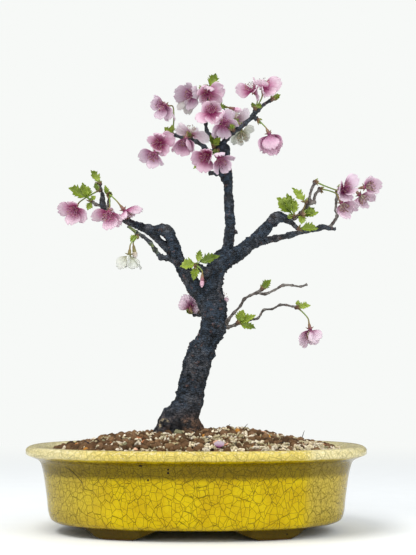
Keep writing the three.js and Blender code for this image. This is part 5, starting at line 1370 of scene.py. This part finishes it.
def seat(name):
    """Where a flower or closed bud sits, the way it faces, the calyx's way behind, and its stalk's bend."""
    if name in BUDS:
        start, end = (vec(p) for p in BUDS[name][:2])
        return start, unit(end - start), -0.5, STALK_BEND
    bloom = BLOOMS[name]
    return vec(bloom["at"]), unit(vec(bloom["face"])), HUB_DEPTH - 0.4, bloom.get("bend", STALK_BEND)


def add_stalk(shape, bud, name, draw):
    """Stalk out of the bud, round to the calyx and its sepals behind the flower."""
    at, face, back, bend = seat(name)
    start = vec(bud)
    neck = at - face * (back + CALYX_LENGTH)
    turn = at - face * (back + CALYX_LENGTH + np.linalg.norm(start - neck) * bend)
    points = [(*start, 0.8), (*lerp(start, turn, 0.55), 0.62), (*lerp(turn, neck, 0.35), 0.62), (*neck, 0.75)]
    shape.rod(points, 10, 0.9, lambda run: lerp(
        srgb("7d9440"), srgb("86603f"), step_up(0.5, 1.0, run / run.max()) * 0.8))
    ruddy = "8a8450" if name in GREEN_CUPS else "8f5560"
    calyx = spindle(at, -face, [(back + distance, radius) for distance, radius in CALYX])
    shape.rod(calyx, 14, 0.5, fade("7c6a3c", ruddy, 5))
    if name in BUDS:
        return
    out_at = spokes(face)
    for k in range(5):
        out = out_at(k * 2 * math.pi / 5 + 0.3)
        foot = at - face * (back + 0.3) + out * 1.2
        add_leaf_blade(shape, foot, foot + out * 2.6 - face * draw.uniform(1.0, 2.0), 1.6, -face, draw,
                       (srgb(ruddy) * 0.9, srgb("8a7a4a")), toothed=False)


def add_leaf(shape, bud, leaf, draw):
    foot, width = vec(leaf[0]), leaf[2]
    tip = lerp(foot, vec(leaf[1]), 0.98)  # the blade stays just short of its solid
    first, second = (srgb(GREENS[draw.integers(4)]) * bright for bright in (1, 1.05))
    shape.rod([(*bud, 0.55), (*lerp(vec(bud), foot, 0.6), 0.45), (*foot, 0.42)], 7, 0.8, srgb("6a8432"))
    add_leaf_blade(shape, foot - unit(tip - foot) * 0.4, tip, width * 1.18, vec((0.2, -1, 0.35)), draw,
                   (first, second))


def add_bud(shape, name):
    """A closed flower bud: petals wrapped round a spindle."""
    start, end, stout, base, top = BUDS[name]
    points = [(*lerp(vec(start), vec(end), share), radius * stout) for share, radius in BUD_OUTLINE]
    shape.rod(points, 30, 0.35, fade(base, top), folds(0.09, 5, 0.55), span=1)


def folds(height, count, twist):
    """Relief of a rod: soft folds that wind round it."""
    return lambda places, lengths, turn: 1 + height * np.sin(count * turn[None, :] + twist * lengths[:, None])


def add_scales(shape, bud, targets, draw):
    """A woody base, and the scales that the stalks and leaves come out of."""
    here = vec(bud)
    aim = unit(sum((unit(t - here) for t in targets), np.zeros(3)) + 0.3 * UP) if targets else UP
    shape.rod(spindle(here, aim, BUD_BASE), 14, 0.45, fade("3b2a22", "6b4a32", 3), folds(0.1, 4, 2))
    out_at = spokes(aim, (0.31, 0.22, 0.9))
    for k in range(7):
        out = out_at(k * GOLDEN_TURN + draw.uniform(-0.3, 0.3))
        foot = here + out * 1.1 - aim * (0.7 - 0.15 * k)
        tip = foot + unit(aim + out * (0.5 + 0.09 * k)) * draw.uniform(2.9, 4.6)
        tints = [srgb(code) for code in (("6a4a3a", "937c50") if k % 3 == 0 else ("76603e", "889f4e"))]
        add_leaf_blade(shape, foot, tip, 2.6, out, draw, tints, toothed=False, fold=0.2)


def make_sprays():
    green = tinted_material("stalk", 0.45, 900.0, 0.00012, 0.12)
    for number, (name, spray) in enumerate(SPRAYS.items()):
        draw = np.random.default_rng(400 + number)
        shape = Shape()
        goals = {bud: [] for bud in spray["buds"]}

        def nearest(point, goal):
            bud = min(goals, key=lambda bud: np.linalg.norm(vec(bud) - point))
            goals[bud].append(goal)
            return bud
        for a, b in zip(spray["buds"], spray["buds"][1:]):
            shape.rod([(*a, 0.8), (*lerp(vec(a), vec(b), 0.5), 0.7), (*b, 0.8)], 9, 0.8, srgb("6b5a35"))
        for flower in spray["flowers"]:
            at = seat(flower)[0]
            add_stalk(shape, nearest(at, at), flower, draw)
            if flower in BUDS:
                add_bud(shape, flower)
        for one in spray["leaves"]:
            add_leaf(shape, nearest(vec(one[0]), vec(one[1])), one, draw)
        for bud, targets in goals.items():
            add_scales(shape, bud, targets, draw)
        shape.build(f"{name}_green", green, "green", [name])


# ---------- stage ----------
def make_floor():
    floor = new_object("floor", np.stack([3000 * np.cos(circle(96)) - ORIGIN_X, 3000 * np.sin(circle(96)),
                                          np.full(96, -0.2)], axis=1), [tuple(range(96))])
    floor.data.materials.append(floor_material())


def add_area(name, place, size, power, colour):
    light = bpy.data.lights.new(name, "AREA")
    light.shape, light.size, light.energy, light.color = "DISK", size, power, colour
    obj = link(bpy.data.objects.new(name, light))
    obj.location = place
    obj.rotation_euler = (Vector((0, 0, 0.2)) - Vector(place)).to_track_quat("-Z", "Y").to_euler()


def make_light():
    """Two soft lamps in an even sky, which is dim where the glaze mirrors it."""
    add_area("key", (-0.5, -0.75, 1.35), 0.9, 16.0, (1.0, 0.985, 0.96))
    add_area("fill", (0.9, -0.9, 0.7), 1.0, 6.5, (0.96, 0.98, 1.0))
    world = bpy.data.worlds.new("studio")
    bpy.context.scene.world = world
    n = Nodes(world)
    rays = n.new("ShaderNodeLightPath").outputs
    seen = n.new("ShaderNodeBackground", {0: BACKDROP})
    lit, mirrored = (n.new("ShaderNodeBackground", {0: SKY, 1: power}) for power in (0.86, 0.12))
    unseen = n.new("ShaderNodeMixShader", {0: rays["Is Glossy Ray"], 1: lit, 2: mirrored})
    both = n.new("ShaderNodeMixShader", {0: rays["Is Camera Ray"], 1: unseen, 2: seen})
    n.close(both, "ShaderNodeOutputWorld")


def make_camera():
    """The photograph's view: a little right of the pot's middle, tipped up a little."""
    data = bpy.data.cameras.new("camera")
    data.lens, data.sensor_width = 79.9, 36.0
    data.clip_start, data.clip_end = 0.01, 20.0
    camera = link(bpy.data.objects.new("camera", data))
    camera.location = ((10.235 + ORIGIN_X) * MM, -1.1, 0.1314)
    camera.rotation_euler = (math.radians(90 + 4.757), 0, 0)
    bpy.context.scene.camera = camera
    bpy.context.scene.view_settings.view_transform = "Standard"


make_camera()
make_light()
make_floor()
make_pot()
make_fibre()
make_screens()
make_bed()
make_grit()
make_wood()
make_twigs()
make_blooms()
make_sprays()
